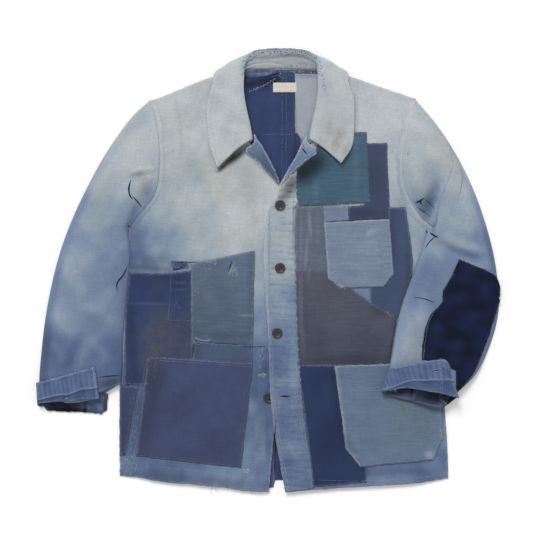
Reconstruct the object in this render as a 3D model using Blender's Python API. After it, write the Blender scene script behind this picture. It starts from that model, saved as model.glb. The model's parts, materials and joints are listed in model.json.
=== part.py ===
"""A patched cotton work jacket, laid flat on its back.

The jacket lies on the table at z = 0 with its collar towards +Y and the wearer's left side
towards +X.  Every table and size below is in millimetres, and meshes are written in metres.
Panels are cut along one shared lattice, so that stacked layers stay parallel and apart.
"""
import math

import bmesh
import bpy
from mathutils import Vector

MM = 0.001

# Cloth
CLOTH = 1.4            # panel and sleeve cloth
PATCH = 1.0            # patches, pockets, facings and the label
COLLAR = 1.6           # collar cloth, two layers sewn together
CUFF = 2.0             # turned-up cuff, doubled cloth
GAP = 0.3              # air between pieces that touch

# How the jacket lies
PITCH = 36.0           # spacing of the drape lattice
LATTICE_X = 7.3        # where one lattice line crosses each axis
LATTICE_Y = 4.1
LOFT = 7.5             # underside of the fronts over the table, away from the seams
HEM_LOFT = 6.4         # the same at the hem
HEM_Y = -240.0         # where the fronts start to come down to the hem
HEM_FALL = 110.0       # and the distance over which they do
FALL = 60.0            # distance over which the fronts come down to a seam
NECK_X = 22.0          # centre of the neck
NECK_LIFT = 2.4        # the back rides this high over the collar folded beneath it
NECK_LIFT_Y = 215.0    # where that rise starts
NECK_LIFT_HALF = 190.0 # and half its width
OVERLAP_STEP = 1.9     # the over-front lies this much higher where it covers the under-front
OVERLAP_X = 150.0      # the step runs out between here
OVERLAP_X_FALL = 80.0  # and this much nearer the front edge
OVERLAP_Y = 265.0      # and towards the neck in the same way
OVERLAP_Y_FALL = 75.0
OPEN_BUTTON_RISE = 5.6 # the over-front stands off the button that is left undone
OPEN_BUTTON_SPREAD = 75.0

# The closed edges, as lines (x, y) to (x, y)
SIDE_RIGHT = ((-251.0, -351.0), (-238.0, 74.0))
SIDE_LEFT = ((307.5, -353.0), (289.0, 64.0))
SHOULDER_RIGHT = ((-200.0, 288.0), (-54.5, 338.5))
SHOULDER_LEFT = ((251.0, 291.5), (98.5, 339.0))

ARMHOLE_RIGHT = (
    (-200, 288), (-189.5, 254), (-185.5, 221), (-184.5, 186), (-187, 152),
    (-195.5, 123), (-211.5, 103), (-226, 86), (-238, 74),
)
ARMHOLE_LEFT = (
    (251, 291.5), (243, 262), (234.5, 230.5), (228.5, 203), (227, 172.5),
    (229.5, 145.5), (239, 118), (256, 91), (289, 64),
)

BUTTON_RADIUS = 8.8
BUTTON_HEIGHT = 3.0
BUTTON_SIDES = 20
# Half a button's section: radius and height as shares of the button's own
BUTTON_PROFILE = (
    (0.0, 0.0), (0.86, 0.0), (1.0, 0.35), (1.0, 0.7), (0.86, 1.0), (0.62, 0.72), (0.0, 0.6),
)
# x, y of each button down the front; the last is undone and half under the placket
BUTTONS = ((20.5, 109.0), (20.5, 2.5), (15.5, -108.0), (1.0, -218.5))

# Sleeve sections from the armhole to the mouth: outer edge x, y; inner edge x, y;
# rise of the underside at the outer and the inner edge; thickness of the sleeve;
# how far the section bows towards the mouth; how far its underside reaches past its top.
SLEEVE_RIGHT = (
    # outer_x, outer_y, inner_x, inner_y, rise_outer, rise_inner, thick, bow, reach
    (-253.5, 230.5, -243.0, 71.0, 0.0, 0.0, 11.0, -22.0, 0.0),
    (-309.5, 137.0, -242.0, 36.0, 0.0, 0.0, 14.0, -6.0, 0.0),
    (-350.0, 42.5, -243.5, -7.5, 0.0, 0.0, 16.0, 0.0, 0.0),
    (-374.0, -52.0, -249.5, -69.0, 0.0, 0.0, 16.0, 0.0, 0.0),
    (-386.5, -145.5, -253.0, -137.0, 0.0, 0.0, 15.0, 0.0, 0.0),
    (-389.0, -181.0, -254.0, -168.0, 2.6, 2.0, 13.5, 0.0, 0.0),
    (-389.5, -221.0, -260.0, -206.0, 2.6, 2.6, 12.0, 3.0, 9.0),
)
SLEEVE_LEFT = (
    (290.5, 244.0, 293.0, 62.0, 0.0, 3.6, 12.0, -36.0, 0.0),
    (335.0, 171.0, 286.0, 66.0, 0.0, 4.8, 14.0, -16.0, 0.0),
    (370.0, 84.0, 273.0, 66.0, 0.0, 5.4, 16.0, -5.0, 0.0),
    (391.5, -12.0, 268.0, 50.0, 0.0, 6.0, 18.0, 0.0, 0.0),
    (394.5, -60.5, 248.0, -4.0, 0.0, 10.0, 18.0, 0.0, 0.0),
    (375.5, -138.5, 223.5, -74.0, 0.0, 11.4, 18.0, 0.0, 0.0),
    (353.0, -179.5, 211.0, -140.0, 7.0, 16.6, 16.0, 0.0, 0.0),
    (321.0, -210.0, 201.5, -196.0, 13.0, 16.8, 14.5, 0.0, 20.0),
)
ARMHOLE_GAP = 0.5      # air between a sleeve's head and the body
EDGE_WALL = 1.6        # cloth at the two folded edges of a sleeve
DOME_POWER = 0.45      # a flattened sleeve's top is this full towards its edges
BOW_POWER = 1.5        # a bowed section is this pointed
JOIN_ROW = 6           # the left sleeve's two lengths meet at this section
ELBOW_ROW = 4          # the elbow patch starts at this one
ELBOW_COLUMNS = 5      # and covers this many columns in from the outer edge
ELBOW_GAP = 0.6        # air beneath it

# Cuffs, from the turned-up hem to the mouth.  Each is open at one side: the cloth runs from its
# free end over the sleeve, round the sleeve's edge and a short way back beneath it.
CUFF_RIGHT = (
    # free_x, free_y, wrap_x, wrap_y, rise_free, rise_wrap, thick, reach
    (-295.0, -165.5, -394.5, -189.0, 0.0, 0.0, 19.5, 0.0),
    (-287.5, -214.0, -394.0, -225.0, 0.0, 0.0, 18.0, 8.0),
)
CUFF_LEFT = (
    (306.0, -152.0, 201.5, -172.0, 12.0, 12.4, 23.5, 0.0),
    (321.0, -214.0, 193.5, -199.0, 12.0, 12.4, 22.0, 8.0),
)
CUFF_STATIONS = 8      # spans across the cuff's top
CUFF_RETURN = 2        # spans that run back beneath the sleeve
CUFF_TURN = 0.97       # where its top and its underside start to turn round the sleeve's edge
CUFF_TURN_HEIGHTS = (0.82, 0.45, 0.12)  # and the heights that the turn passes, of its thickness

# Half the collar, from its front end to the middle of the back.  Each station gives the neck seam,
# the fold, the knee of the fall and its outer edge.  Heights are the cloth's middle over the front
# below it (on_front 1) or over the table (on_front 0); spread opens the fold.
COLLAR_HALF = (
    # seam_x, seam_y, fold_x, fold_y, fold_z, knee_x, knee_y, knee_z, edge_x, edge_y, edge_z,
    # on_front, spread
    (-30.0, 216.0, -26.5, 222.0, 3.8, -54.5, 203.0, 5.2, -85.5, 172.5, 10.0, 1, 1.8),
    (-35.5, 234.0, -30.5, 245.5, 4.0, -59.5, 232.0, 4.4, -98.0, 208.0, 4.0, 1, 1.8),
    (-42.5, 268.0, -37.0, 274.5, 4.4, -66.5, 268.0, 4.2, -103.0, 247.5, 1.6, 1, 1.8),
    (-49.5, 296.5, -41.5, 305.0, 5.4, -69.5, 302.0, 4.8, -102.0, 288.0, 1.8, 1, 1.8),
    (-51.0, 322.0, -41.0, 329.0, 7.2, -63.0, 333.0, 6.2, -93.5, 317.0, 3.0, 1, 1.6),
    (-46.5, 335.5, -38.0, 351.0, 12.8, -62.0, 353.0, 7.5, -90.0, 336.5, 4.2, 0, 1.0),
    (-38.0, 338.5, -34.0, 360.5, 13.6, -54.5, 359.5, 1.4, -83.0, 339.5, 0.9, 0, 0.4),
    (-24.0, 339.5, -25.5, 370.0, 14.4, -37.5, 364.5, 1.4, -54.5, 296.5, 0.9, 0, 0.0),
    (-3.5, 340.0, -3.5, 374.5, 15.0, -3.5, 370.5, 1.4, -13.5, 286.5, 0.9, 0, 0.0),
    (22.0, 340.0, 22.0, 375.5, 15.0, 22.0, 371.5, 1.4, 22.0, 285.0, 0.9, 0, 0.0),
)
FRONT_STATIONS = 6     # the stations whose seam runs along a front
LEFT_TIP = (5.5, 7.5)  # the left leaf's tip lies this much further in and up than the right one's
SHOULDER_POINT_X = -42.0  # the back's neckline starts inside this, the front's outside
COLLAR_TURN = 3.0      # distance either side of the fold where the collar's two leaves start

# Base colours of the cloths and of the horn buttons, linear red, green and blue
COLOURS = {
    "pale": (0.46, 0.49, 0.50), "blue": (0.20, 0.29, 0.42), "denim": (0.24, 0.33, 0.50),
    "navy": (0.020, 0.035, 0.095), "dark": (0.045, 0.065, 0.14), "teal": (0.05, 0.11, 0.16),
    "plum": (0.055, 0.065, 0.13), "brown": (0.085, 0.085, 0.11), "grey": (0.11, 0.13, 0.17),
    "mid": (0.09, 0.12, 0.20), "light": (0.25, 0.31, 0.44), "cream": (0.78, 0.71, 0.60),
    "horn": (0.040, 0.022, 0.018),
}
CLOTH_ROUGHNESS = 0.9
HORN_ROUGHNESS = 0.35


def smooth(t):
    t = min(max(t, 0.0), 1.0)
    return t * t * (3.0 - 2.0 * t)


def mix(a, b, t):
    return a + (b - a) * t


# Heights ---------------------------------------------------------------------------------------


def side_inset(line, x, y, inwards):
    """How far a point lies inside a side seam, or past its armpit end."""
    (x0, y0), (x1, y1) = line
    along = min(max((y - y0) / (y1 - y0), 0.0), 1.0)
    across = max(inwards * (x - mix(x0, x1, along)), 0.0)
    return math.hypot(across, max(y - y1, 0.0))


def shoulder_inset(line, x, y):
    """How far a point lies below a shoulder seam."""
    (x0, y0), (x1, y1) = line
    slope = (y1 - y0) / (x1 - x0)
    return max((y0 + slope * (x - x0) - y) / math.hypot(1.0, slope), 0.0)


def seam_inset(x, y):
    """How far a point lies from the nearest closed edge of the body."""
    shoulder = SHOULDER_RIGHT if x < NECK_X else SHOULDER_LEFT
    return min(
        side_inset(SIDE_RIGHT, x, y, 1.0),
        side_inset(SIDE_LEFT, x, y, -1.0),
        shoulder_inset(shoulder, x, y),
    )


def back_low(x, y):
    """Underside of the back: on the table, and over the collar near the neck."""
    along = smooth((y - NECK_LIFT_Y) / FALL)
    return NECK_LIFT * along * smooth((NECK_LIFT_HALF - abs(x - NECK_X)) / FALL)


def right_low(x, y):
    """Underside of the right front, which lies next to the back."""
    seam = back_low(x, y) + CLOTH + GAP
    full = mix(LOFT, HEM_LOFT, smooth((HEM_Y - y) / HEM_FALL))
    return mix(seam, max(full, seam), smooth(seam_inset(x, y) / FALL))


def left_low(x, y):
    """Underside of the left front, raised where it covers the right front and its open button."""
    covers = smooth((OVERLAP_X - x) / OVERLAP_X_FALL) * smooth((OVERLAP_Y - y) / OVERLAP_Y_FALL)
    button_x, button_y = BUTTONS[-1]
    spread = math.hypot(x - button_x, y - button_y) / OPEN_BUTTON_SPREAD
    return right_low(x, y) + OVERLAP_STEP * covers + OPEN_BUTTON_RISE * math.exp(-spread * spread)


def layer(low, rise):
    """A height function that lies above another by a fixed rise."""
    return lambda x, y: low(x, y) + rise


def lattice_height(low, x, y):
    """A height read from the three corners of the lattice triangle that holds the point."""
    column, u = divmod((x - LATTICE_X) / PITCH, 1.0)
    line, v = divmod((y - LATTICE_Y) / PITCH, 1.0)
    x0 = LATTICE_X + column * PITCH
    y0 = LATTICE_Y + line * PITCH
    x_corner = low(x0 + PITCH, y0)
    y_corner = low(x0, y0 + PITCH)
    if u + v <= 1.0:
        near = low(x0, y0)
        return near + u * (x_corner - near) + v * (y_corner - near)
    far = low(x0 + PITCH, y0 + PITCH)
    return far + (1.0 - u) * (y_corner - far) + (1.0 - v) * (x_corner - far)


# Making objects --------------------------------------------------------------------------------


def material(colour):
    name = "cloth_" + colour
    found = bpy.data.materials.get(name)
    if found:
        return found
    made = bpy.data.materials.new(name)
    made.use_nodes = True
    shader = made.node_tree.nodes["Principled BSDF"]
    shader.inputs["Base Color"].default_value = COLOURS[colour] + (1.0,)
    shader.inputs["Roughness"].default_value = HORN_ROUGHNESS if colour == "horn" else CLOTH_ROUGHNESS
    made.diffuse_color = COLOURS[colour] + (1.0,)
    return made


def finish(name, mesh, colour):
    """Turns the mesh outwards, scales it to metres and puts it in the scene."""
    bmesh.ops.recalc_face_normals(mesh, faces=mesh.faces)
    bmesh.ops.scale(mesh, vec=(MM, MM, MM), verts=mesh.verts)
    data = bpy.data.meshes.new(name)
    mesh.to_mesh(data)
    mesh.free()
    data.materials.append(material(colour))
    made = bpy.data.objects.new(name, data)
    bpy.context.scene.collection.objects.link(made)
    return made


def lattice_cuts(outline):
    """Points and directions of the lattice lines that cross the outline's box."""
    xs = [x for x, y in outline]
    ys = [y for x, y in outline]
    sums = [x + y for x, y in outline]
    families = (
        (xs, LATTICE_X, (1, 0, 0), lambda at: (at, 0, 0)),
        (ys, LATTICE_Y, (0, 1, 0), lambda at: (0, at, 0)),
        (sums, LATTICE_X + LATTICE_Y, (1, 1, 0), lambda at: (at, 0, 0)),
    )
    for values, start, direction, point in families:
        first = math.ceil((min(values) - start) / PITCH)
        last = math.floor((max(values) - start) / PITCH)
        for step in range(first, last + 1):
            yield point(start + step * PITCH), direction


def panel(name, outline, low, thick, colour):
    """A flat-cut piece of cloth draped on the lattice heights of its underside."""
    mesh = bmesh.new()
    mesh.faces.new([mesh.verts.new((x, y, 0.0)) for x, y in outline])
    for point, direction in lattice_cuts(outline):
        geometry = mesh.verts[:] + mesh.edges[:] + mesh.faces[:]
        bmesh.ops.bisect_plane(mesh, geom=geometry, dist=1e-4, plane_co=point, plane_no=direction)
    for vert in mesh.verts:
        vert.co.z = lattice_height(low, vert.co.x, vert.co.y)
    rim = [edge for edge in mesh.edges if edge.is_boundary]
    copied = bmesh.ops.duplicate(mesh, geom=mesh.verts[:] + mesh.edges[:] + mesh.faces[:])
    above = copied["vert_map"]
    for edge in rim:
        first, second = edge.verts
        mesh.faces.new((first, second, above[second], above[first]))
    for item in copied["geom"]:
        if isinstance(item, bmesh.types.BMVert):
            item.co.z += thick
    return finish(name, mesh, colour)


def grid_normals(grid):
    """The averaged normal of each point of a grid of points."""
    rows = len(grid)
    columns = len(grid[0])
    normals = []
    for i in range(rows):
        line = []
        for j in range(columns):
            total = Vector((0.0, 0.0, 0.0))
            for di, dj in ((-1, -1), (-1, 0), (0, -1), (0, 0)):
                a, b = i + di, j + dj
                if 0 <= a < rows - 1 and 0 <= b < columns - 1:
                    across = grid[a + 1][b + 1] - grid[a][b]
                    other = grid[a + 1][b] - grid[a][b + 1]
                    total += across.cross(other).normalized()
            line.append(total.normalized())
        normals.append(line)
    return normals


def skin_grid(mesh, grid, closed):
    """Triangles over a grid of vertices, closed round its columns if asked."""
    columns = len(grid[0])
    for i in range(len(grid) - 1):
        for j in range(columns if closed else columns - 1):
            k = (j + 1) % columns
            a, b, c, d = grid[i][j], grid[i][k], grid[i + 1][k], grid[i + 1][j]
            mesh.faces.new((a, b, c))
            mesh.faces.new((a, c, d))


def sheet(name, grid, thick, colour, middle=0.0):
    """Cloth of even thickness about a grid of points, moved out by middle along its normals."""
    mesh = bmesh.new()
    normals = grid_normals(grid)
    faces = []
    for offset in (middle - thick / 2, middle + thick / 2):
        side = [
            [mesh.verts.new(point + normal * offset) for point, normal in zip(points, line)]
            for points, line in zip(grid, normals)
        ]
        skin_grid(mesh, side, False)
        faces.append(side)
    lower, upper = faces
    rim = [(i, 0) for i in range(len(grid))]
    rim += [(len(grid) - 1, j) for j in range(1, len(grid[0]))]
    rim += [(i, len(grid[0]) - 1) for i in range(len(grid) - 2, -1, -1)]
    rim += [(0, j) for j in range(len(grid[0]) - 2, 0, -1)]
    for (i, j), (k, m) in zip(rim, rim[1:] + rim[:1]):
        mesh.faces.new((lower[i][j], lower[k][m], upper[k][m], upper[i][j]))
    return finish(name, mesh, colour)


# Sleeves and cuffs -----------------------------------------------------------------------------


def arc_fractions(points):
    """Distance along a line of points, from 0 to 1."""
    run = [0.0]
    for (x0, y0), (x1, y1) in zip(points, points[1:]):
        run.append(run[-1] + math.hypot(x1 - x0, y1 - y0))
    return [length / run[-1] for length in run]


def armhole_rings(armhole, low, outwards):
    """Outer and inner loop of the sleeve where it meets the body."""
    plan = []
    for i, (x, y) in enumerate(armhole):
        x0, y0 = armhole[max(i - 1, 0)]
        x1, y1 = armhole[min(i + 1, len(armhole) - 1)]
        across = Vector((y0 - y1, x1 - x0)).normalized() * ARMHOLE_GAP * outwards
        plan.append((x + across.x, y + across.y))
    tops = [lattice_height(low, x, y) + CLOTH for x, y in armhole]
    return loops(plan, plan, tops, [0.0] * len(plan))


def loops(top_plan, low_plan, tops, lows):
    """Closed outer and inner loops of a flattened tube, from its two sides' points and heights."""
    last = len(top_plan) - 1
    outer = []
    inner = []
    for i in range(last + 1):
        x, y = top_plan[i]
        if i in (0, last):
            x = (x + low_plan[i][0]) / 2
            y = (y + low_plan[i][1]) / 2
            middle = (tops[i] + lows[i]) / 2
            next_x, next_y = top_plan[1 if i == 0 else last - 1]
            inwards = Vector((next_x - x, next_y - y)).normalized() * EDGE_WALL
            outer.append(Vector((x, y, middle)))
            inner.append(Vector((x + inwards.x, y + inwards.y, middle)))
        else:
            outer.append(Vector((x, y, tops[i])))
            inner.append(Vector((x, y, tops[i] - CLOTH)))
    for i in range(last - 1, 0, -1):
        x, y = low_plan[i]
        outer.append(Vector((x, y, lows[i])))
        inner.append(Vector((x, y, lows[i] + CLOTH)))
    return outer, inner


def dome(t):
    """Rounded profile of a flattened tube, 0 at its edges and 1 across the middle."""
    return (4.0 * t * (1.0 - t)) ** DOME_POWER


def sleeve_rings(rows, fractions):
    """Loops of each section of a sleeve."""
    edge = 2 * CLOTH + GAP
    for outer_x, outer_y, inner_x, inner_y, rise_outer, rise_inner, thick, bow, reach in rows:
        chord = Vector((inner_x - outer_x, inner_y - outer_y))
        along = Vector((chord.y, -chord.x)).normalized()
        if along.y > 0.0:
            along = -along
        top_plan = []
        low_plan = []
        tops = []
        lows = []
        for t in fractions:
            arch = 4.0 * t * (1.0 - t)
            point = Vector((outer_x, outer_y)) + chord * t + along * bow * arch ** BOW_POWER
            under = point + along * reach * arch
            lift = mix(rise_outer, rise_inner, t)
            top_plan.append((point.x, point.y))
            low_plan.append((under.x, under.y))
            lows.append(lift)
            tops.append(lift + edge + (thick - edge) * dome(t))
        yield loops(top_plan, low_plan, tops, lows)


def sleeve_loops(armhole, low, rows, outwards):
    """Outer and inner loops of a sleeve, from its head to its mouth."""
    return zip(armhole_rings(armhole, low, outwards), *sleeve_rings(rows, arc_fractions(armhole)))


def drawn_back(tube_loops):
    """The loops of a tube that starts a gap beyond the piece before it."""
    start, *kept = tube_loops
    chord = start[0] - start[len(start) // 2]
    away = Vector((chord.y, -chord.x, 0.0)).normalized() * GAP
    if away.dot(kept[0][0] - start[0]) < 0.0:
        away = -away
    return [[point + away for point in start], *kept]


def tube(name, outers, inners):
    """An open tube of cloth between its outer and its inner loops."""
    mesh = bmesh.new()
    outer = [[mesh.verts.new(point) for point in loop] for loop in outers]
    inner = [[mesh.verts.new(point) for point in loop] for loop in inners]
    skin_grid(mesh, outer, True)
    skin_grid(mesh, inner, True)
    skin_grid(mesh, [outer[0], inner[0]], True)
    skin_grid(mesh, [outer[-1], inner[-1]], True)
    finish(name, mesh, "pale")


def cuff(name, rows):
    """A turned-up cuff: over the sleeve, round its edge and back beneath it."""
    grid = []
    for free_x, free_y, wrap_x, wrap_y, rise_free, rise_wrap, thick, reach in rows:
        chord = Vector((wrap_x - free_x, wrap_y - free_y))
        along = Vector((chord.y, -chord.x)).normalized()
        if along.y > 0.0:
            along = -along
        # Each entry: how far across the cuff, height within its thickness, share of the reach.
        over = [(i / CUFF_STATIONS, 1.0, 0.0) for i in range(CUFF_STATIONS)]
        upper, level, lower = CUFF_TURN_HEIGHTS
        turn = [(CUFF_TURN, upper, 0.0), (1.0, level, 0.5), (CUFF_TURN, lower, 1.0)]
        under = [(1.0 - i / CUFF_STATIONS, 0.0, 1.0) for i in range(1, CUFF_RETURN + 1)]
        line = []
        for t, height, share in over + turn + under:
            point = Vector((free_x, free_y)) + chord * t + along * reach * share
            low = mix(rise_free, rise_wrap, t) + CUFF / 2
            line.append(Vector((point.x, point.y, low + height * (thick - CUFF))))
        grid.append(line)
    middle_row = [(a + b) / 2 for a, b in zip(*grid)]
    sheet(name, [grid[0], middle_row, grid[1]], CUFF, "blue")


# Collar ----------------------------------------------------------------------------------------


def collar_stations():
    """Sections of the collar from its right front end, round the neck, to its left front end."""
    halves = []
    for side, low in ((-1, right_low), (1, left_low)):
        half = []
        for row in COLLAR_HALF:
            half.append(collar_section(row, side, low))
        halves.append(half)
    right, left = halves
    return right + left[-2::-1]


def collar_section(row, side, low):
    (seam_x, seam_y, fold_x, fold_y, fold_z, knee_x, knee_y, knee_z,
     edge_x, edge_y, edge_z, on_front, spread) = row
    patch = PATCH + GAP if side > 0 and on_front else 0.0

    def place(x, y, z):
        if side > 0:
            x = 2 * NECK_X - x
        floor = lattice_height(low, x, y) + CLOTH + patch if on_front else 0.0
        return Vector((x, y, floor + z))

    if on_front:
        seam = place(seam_x, seam_y, -CLOTH / 2 - patch)
    elif seam_x < SHOULDER_POINT_X:
        seam = place(seam_x, seam_y, NECK_LIFT + CLOTH + GAP + COLLAR / 2)
    else:
        seam = place(seam_x, seam_y, NECK_LIFT + CLOTH / 2)
    fold = place(fold_x, fold_y, fold_z)
    knee = place(knee_x, knee_y, knee_z)
    if side > 0 and row == COLLAR_HALF[0]:
        edge_x += LEFT_TIP[0]
        edge_y += LEFT_TIP[1]
    edge = place(edge_x, edge_y, edge_z)
    opened = Vector((0.0, 0.0, spread))
    before = fold + (seam - fold).normalized() * COLLAR_TURN - opened
    after = fold + (knee - fold).normalized() * COLLAR_TURN + opened
    return [seam, before, fold, after, knee, (knee + edge) / 2, edge]


def neck_edge(stations, first, last, away):
    """The body's neckline, just clear of the collar's seam, as plan points."""
    seams = [section[0] for section in stations]
    points = []
    for i in range(first, last + 1):
        before = seams[max(i - 1, 0)]
        after = seams[min(i + 1, len(seams) - 1)]
        across = Vector((before.y - after.y, after.x - before.x)).normalized() * away
        points.append((seams[i].x + across.x, seams[i].y + across.y))
    return points


# The pieces ------------------------------------------------------------------------------------


def body(stations):
    clear = COLLAR / 2 + GAP
    total = len(stations) - 1
    neck_right = neck_edge(stations, 0, FRONT_STATIONS - 1, clear)
    neck_left = neck_edge(stations, total - FRONT_STATIONS + 1, total, clear)
    neck_back = neck_edge(stations, FRONT_STATIONS, total - FRONT_STATIONS, -clear)
    back = [(-200, 288), (-148, 306), (-58, 333.5), (-46, 334)]
    back += neck_back
    back += [(90, 334), (102, 333.5), (197, 309.5), (251, 291.5)]
    back += list(ARMHOLE_LEFT[1:])
    back += [(301, -239), (306, -348.5), (168.5, -356), (76.5, -364.5), (25.5, -368), (0, -368)]
    back += [(-103.5, -359.5), (-163, -354.5), (-249, -347.5), (-249, -186), (-245, -57)]
    back += list(ARMHOLE_RIGHT[:0:-1])
    panel("back", back, back_low, CLOTH, "dark")

    right = list(ARMHOLE_RIGHT[::-1])
    right += [(-148, 306), (-88.5, 326), (-54.0, 337.0)]
    right += neck_right[::-1]
    right += [(-27, 211.5), (-6.5, 201.5), (5.5, 180.5), (19, 149)]
    right += [(34, 118), (35.5, -126.5), (15.5, -239), (1.5, -376.5)]
    right += [(-22, -376.5), (-103.5, -364.5), (-163, -358), (-251, -351)]
    right += [(-251.5, -244), (-249, -128.5), (-245.5, -57), (-239.5, -7.5)]
    panel("front_right", right, right_low, CLOTH, "pale")

    left = [(98.0, 337.5)]
    left += [(132.5, 328), (197, 309.5)]
    left += list(ARMHOLE_LEFT)
    left += [(289, -35), (294, -137), (301, -239), (306, -303.5), (307.5, -353)]
    left += [(168.5, -361), (76.5, -370), (29, -376.5)]
    left += [(7, -244), (1, -126.5), (1.5, -4), (2.5, 102.5), (13, 120.5), (19.5, 142)]
    left += [(33, 167.5), (48, 193.5), (59.5, 213), (71, 211.5)]
    left += neck_left[::-1]
    panel("front_left", left, left_low, CLOTH, "pale")


def inside_back():
    first = CLOTH + GAP
    outline = [(-37.5, 332), (45.5, 332), (45.5, 109.5), (-47.5, 109.5), (-47.5, 262), (-37.5, 288)]
    panel("inner_patch", outline, layer(back_low, first), PATCH, "dark")
    label = [(8.5, 318.5), (49, 318.5), (49, 302), (8.5, 302)]
    panel("neck_label", label, layer(back_low, first + PATCH + GAP), PATCH, "cream")


# name, layer on the front (1 next to it, 2 over that), colour, outline
RIGHT_PATCHES = (
    ("patch_right_breast", 1, "mid", (
        (-129.5, 10), (-22, 31.5), (-25.5, -125), (-126.5, -121.5))),
    ("patch_right_strip", 1, "dark", (
        (-126.5, -126), (-25.5, -129), (-27, -162.5), (-126.5, -154))),
    ("patch_right_side", 1, "dark", (
        (-236, -7.5), (-132.5, 2.5), (-131, -149), (-205, -149), (-222, -194.5), (-246, -194.5),
        (-243, -69))),
    ("patch_right_hip", 1, "plum", (
        (-203, -154), (-131, -158), (-27, -168.5), (-46, -337.5), (-224.5, -317))),
    ("patch_right_hem", 1, "plum", (
        (-248.5, -198), (-217.5, -200), (-238, -320.5), (-250, -320.5))),
    ("lapel_right", 1, "denim", (
        (-37.5, 208), (-30, 211), (-24.5, 216), (-23.5, 231), (-5, 201.5), (7, 180), (20.5, 148),
        (18.5, 142), (-3.5, 167.5), (-20.5, 186), (-37.5, 195.5))),
)
LEFT_PATCHES = (
    ("placket", 1, "light", (
        (20.5, 140), (14, 120), (3.5, 101), (2.5, -4), (2, -126.5), (8, -244), (30, -376.5),
        (75.5, -369), (64, -244), (52, -162.5), (46, -4), (42.5, 108), (37.5, 142), (40, 168),
        (33.5, 167))),
    ("patch_left_teal", 1, "teal", (
        (167.5, 234), (173.5, 114), (51.5, 108), (47, 150.5), (54, 176), (83.5, 189.5), (98.5, 234))),
    ("patch_left_plum", 1, "plum", (
        (170, 215), (202.5, 215), (207.5, 87.5), (137.5, 84), (137, 110.5), (175, 112))),
    ("patch_left_tab", 1, "light", (
        (94.5, 106), (135, 109), (136, 84), (95, 81))),
    ("patch_left_grey", 1, "grey", (
        (49.5, 103), (92.5, 105.5), (100.5, -1), (49.5, 0))),
    ("patch_left_side", 1, "mid", (
        (209, 106), (234.5, 106), (245, -6), (220, -80), (177, -55), (175, -4), (209, -4))),
    ("patch_left_brown", 1, "brown", (
        (49.5, -3), (112, -3), (144.5, -36.5), (217.5, -84), (205.5, -159), (56, -164))),
    ("patch_left_navy", 1, "dark", (
        (57, -167.5), (117.5, -166.5), (137.5, -305), (160, -334), (173.5, -358), (79.5, -368))),
    ("chest_pocket", 2, "light", (
        (95, 80), (206.5, 86), (214, -7.5), (197, -29), (121.5, -31.5), (102, -14.5))),
    ("hip_pocket", 2, "blue", (
        (113, -164), (291.5, -157), (297.5, -286.5), (282, -324), (156.5, -336), (132.5, -305))),
    ("lapel_left", 2, "denim", (
        (82, 209), (83, 196.5), (63, 183), (47.5, 169), (27, 148), (21, 142), (32.5, 167.5),
        (47.5, 193), (58, 216), (66.5, 231), (68, 217), (74, 211.5))),
)


def patches():
    for rows, low in ((RIGHT_PATCHES, right_low), (LEFT_PATCHES, left_low)):
        for name, level, colour, outline in rows:
            rise = CLOTH + GAP + (level - 1) * (PATCH + GAP)
            panel(name, outline, layer(low, rise), PATCH, colour)


def button(name, x, y, low):
    """A dished disc with a rounded rim, turned about its middle."""
    mesh = bmesh.new()
    verts = [
        mesh.verts.new((radius * BUTTON_RADIUS, 0.0, low + BUTTON_HEIGHT * height))
        for radius, height in BUTTON_PROFILE
    ]
    edges = [mesh.edges.new(pair) for pair in zip(verts, verts[1:])]
    bmesh.ops.spin(
        mesh, geom=verts + edges, cent=(0, 0, 0), axis=(0, 0, 1), angle=math.tau,
        steps=BUTTON_SIDES,
    )
    bmesh.ops.remove_doubles(mesh, verts=mesh.verts, dist=1e-3)
    bmesh.ops.translate(mesh, vec=(x, y, 0.0), verts=mesh.verts)
    made = finish(name, mesh, "horn")
    made.data.shade_smooth()
    made.data.set_sharp_from_angle(angle=math.radians(40.0))


def buttons():
    on_placket = CLOTH + GAP + PATCH + GAP
    for number, (x, y) in enumerate(BUTTONS, 1):
        undone = number == len(BUTTONS)
        low, rise = (right_low, CLOTH + GAP) if undone else (left_low, on_placket)
        reach = [
            lattice_height(low, x + BUTTON_RADIUS * math.cos(a), y + BUTTON_RADIUS * math.sin(a))
            for a in (math.tau * step / BUTTON_SIDES for step in range(BUTTON_SIDES))
        ]
        button(f"button_{number}", x, y, max(reach) + rise)


def sleeves():
    tube("sleeve_right", *sleeve_loops(ARMHOLE_RIGHT, right_low, SLEEVE_RIGHT, -1.0))
    outers, inners = sleeve_loops(ARMHOLE_LEFT, left_low, SLEEVE_LEFT, 1.0)
    arm = slice(0, JOIN_ROW + 1)
    forearm = slice(JOIN_ROW, None)
    tube("sleeve_left_arm", outers[arm], inners[arm])
    tube("sleeve_left_forearm", drawn_back(outers[forearm]), drawn_back(inners[forearm]))
    elbow = [loop[:ELBOW_COLUMNS + 1] for loop in outers[ELBOW_ROW:-1]]
    sheet("elbow_patch", elbow, PATCH, "navy", middle=ELBOW_GAP + PATCH / 2)
    cuff("cuff_right", CUFF_RIGHT)
    cuff("cuff_left", CUFF_LEFT)


def main():
    for made in list(bpy.data.objects):
        bpy.data.objects.remove(made, do_unlink=True)
    stations = collar_stations()
    body(stations)
    inside_back()
    patches()
    sheet("collar", stations, COLLAR, "pale")
    sleeves()
    buttons()


main()
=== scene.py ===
"""The looks of a patched boro jacket that lies flat on its back.

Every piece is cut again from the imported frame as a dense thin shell: the flat pieces from their
own outlines in the frame, the collar, sleeves and cuffs from the sections of the cut.  Sizes are
in millimetres, and meshes are written in metres.  +Y is towards the collar, +X towards the
wearer's left side, and the table is at z = 0.
"""
import json
import math

import bpy
import numpy as np
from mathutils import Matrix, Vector
from mathutils.bvhtree import BVHTree
from mathutils.geometry import delaunay_2d_cdt
from mathutils.kdtree import KDTree

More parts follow.
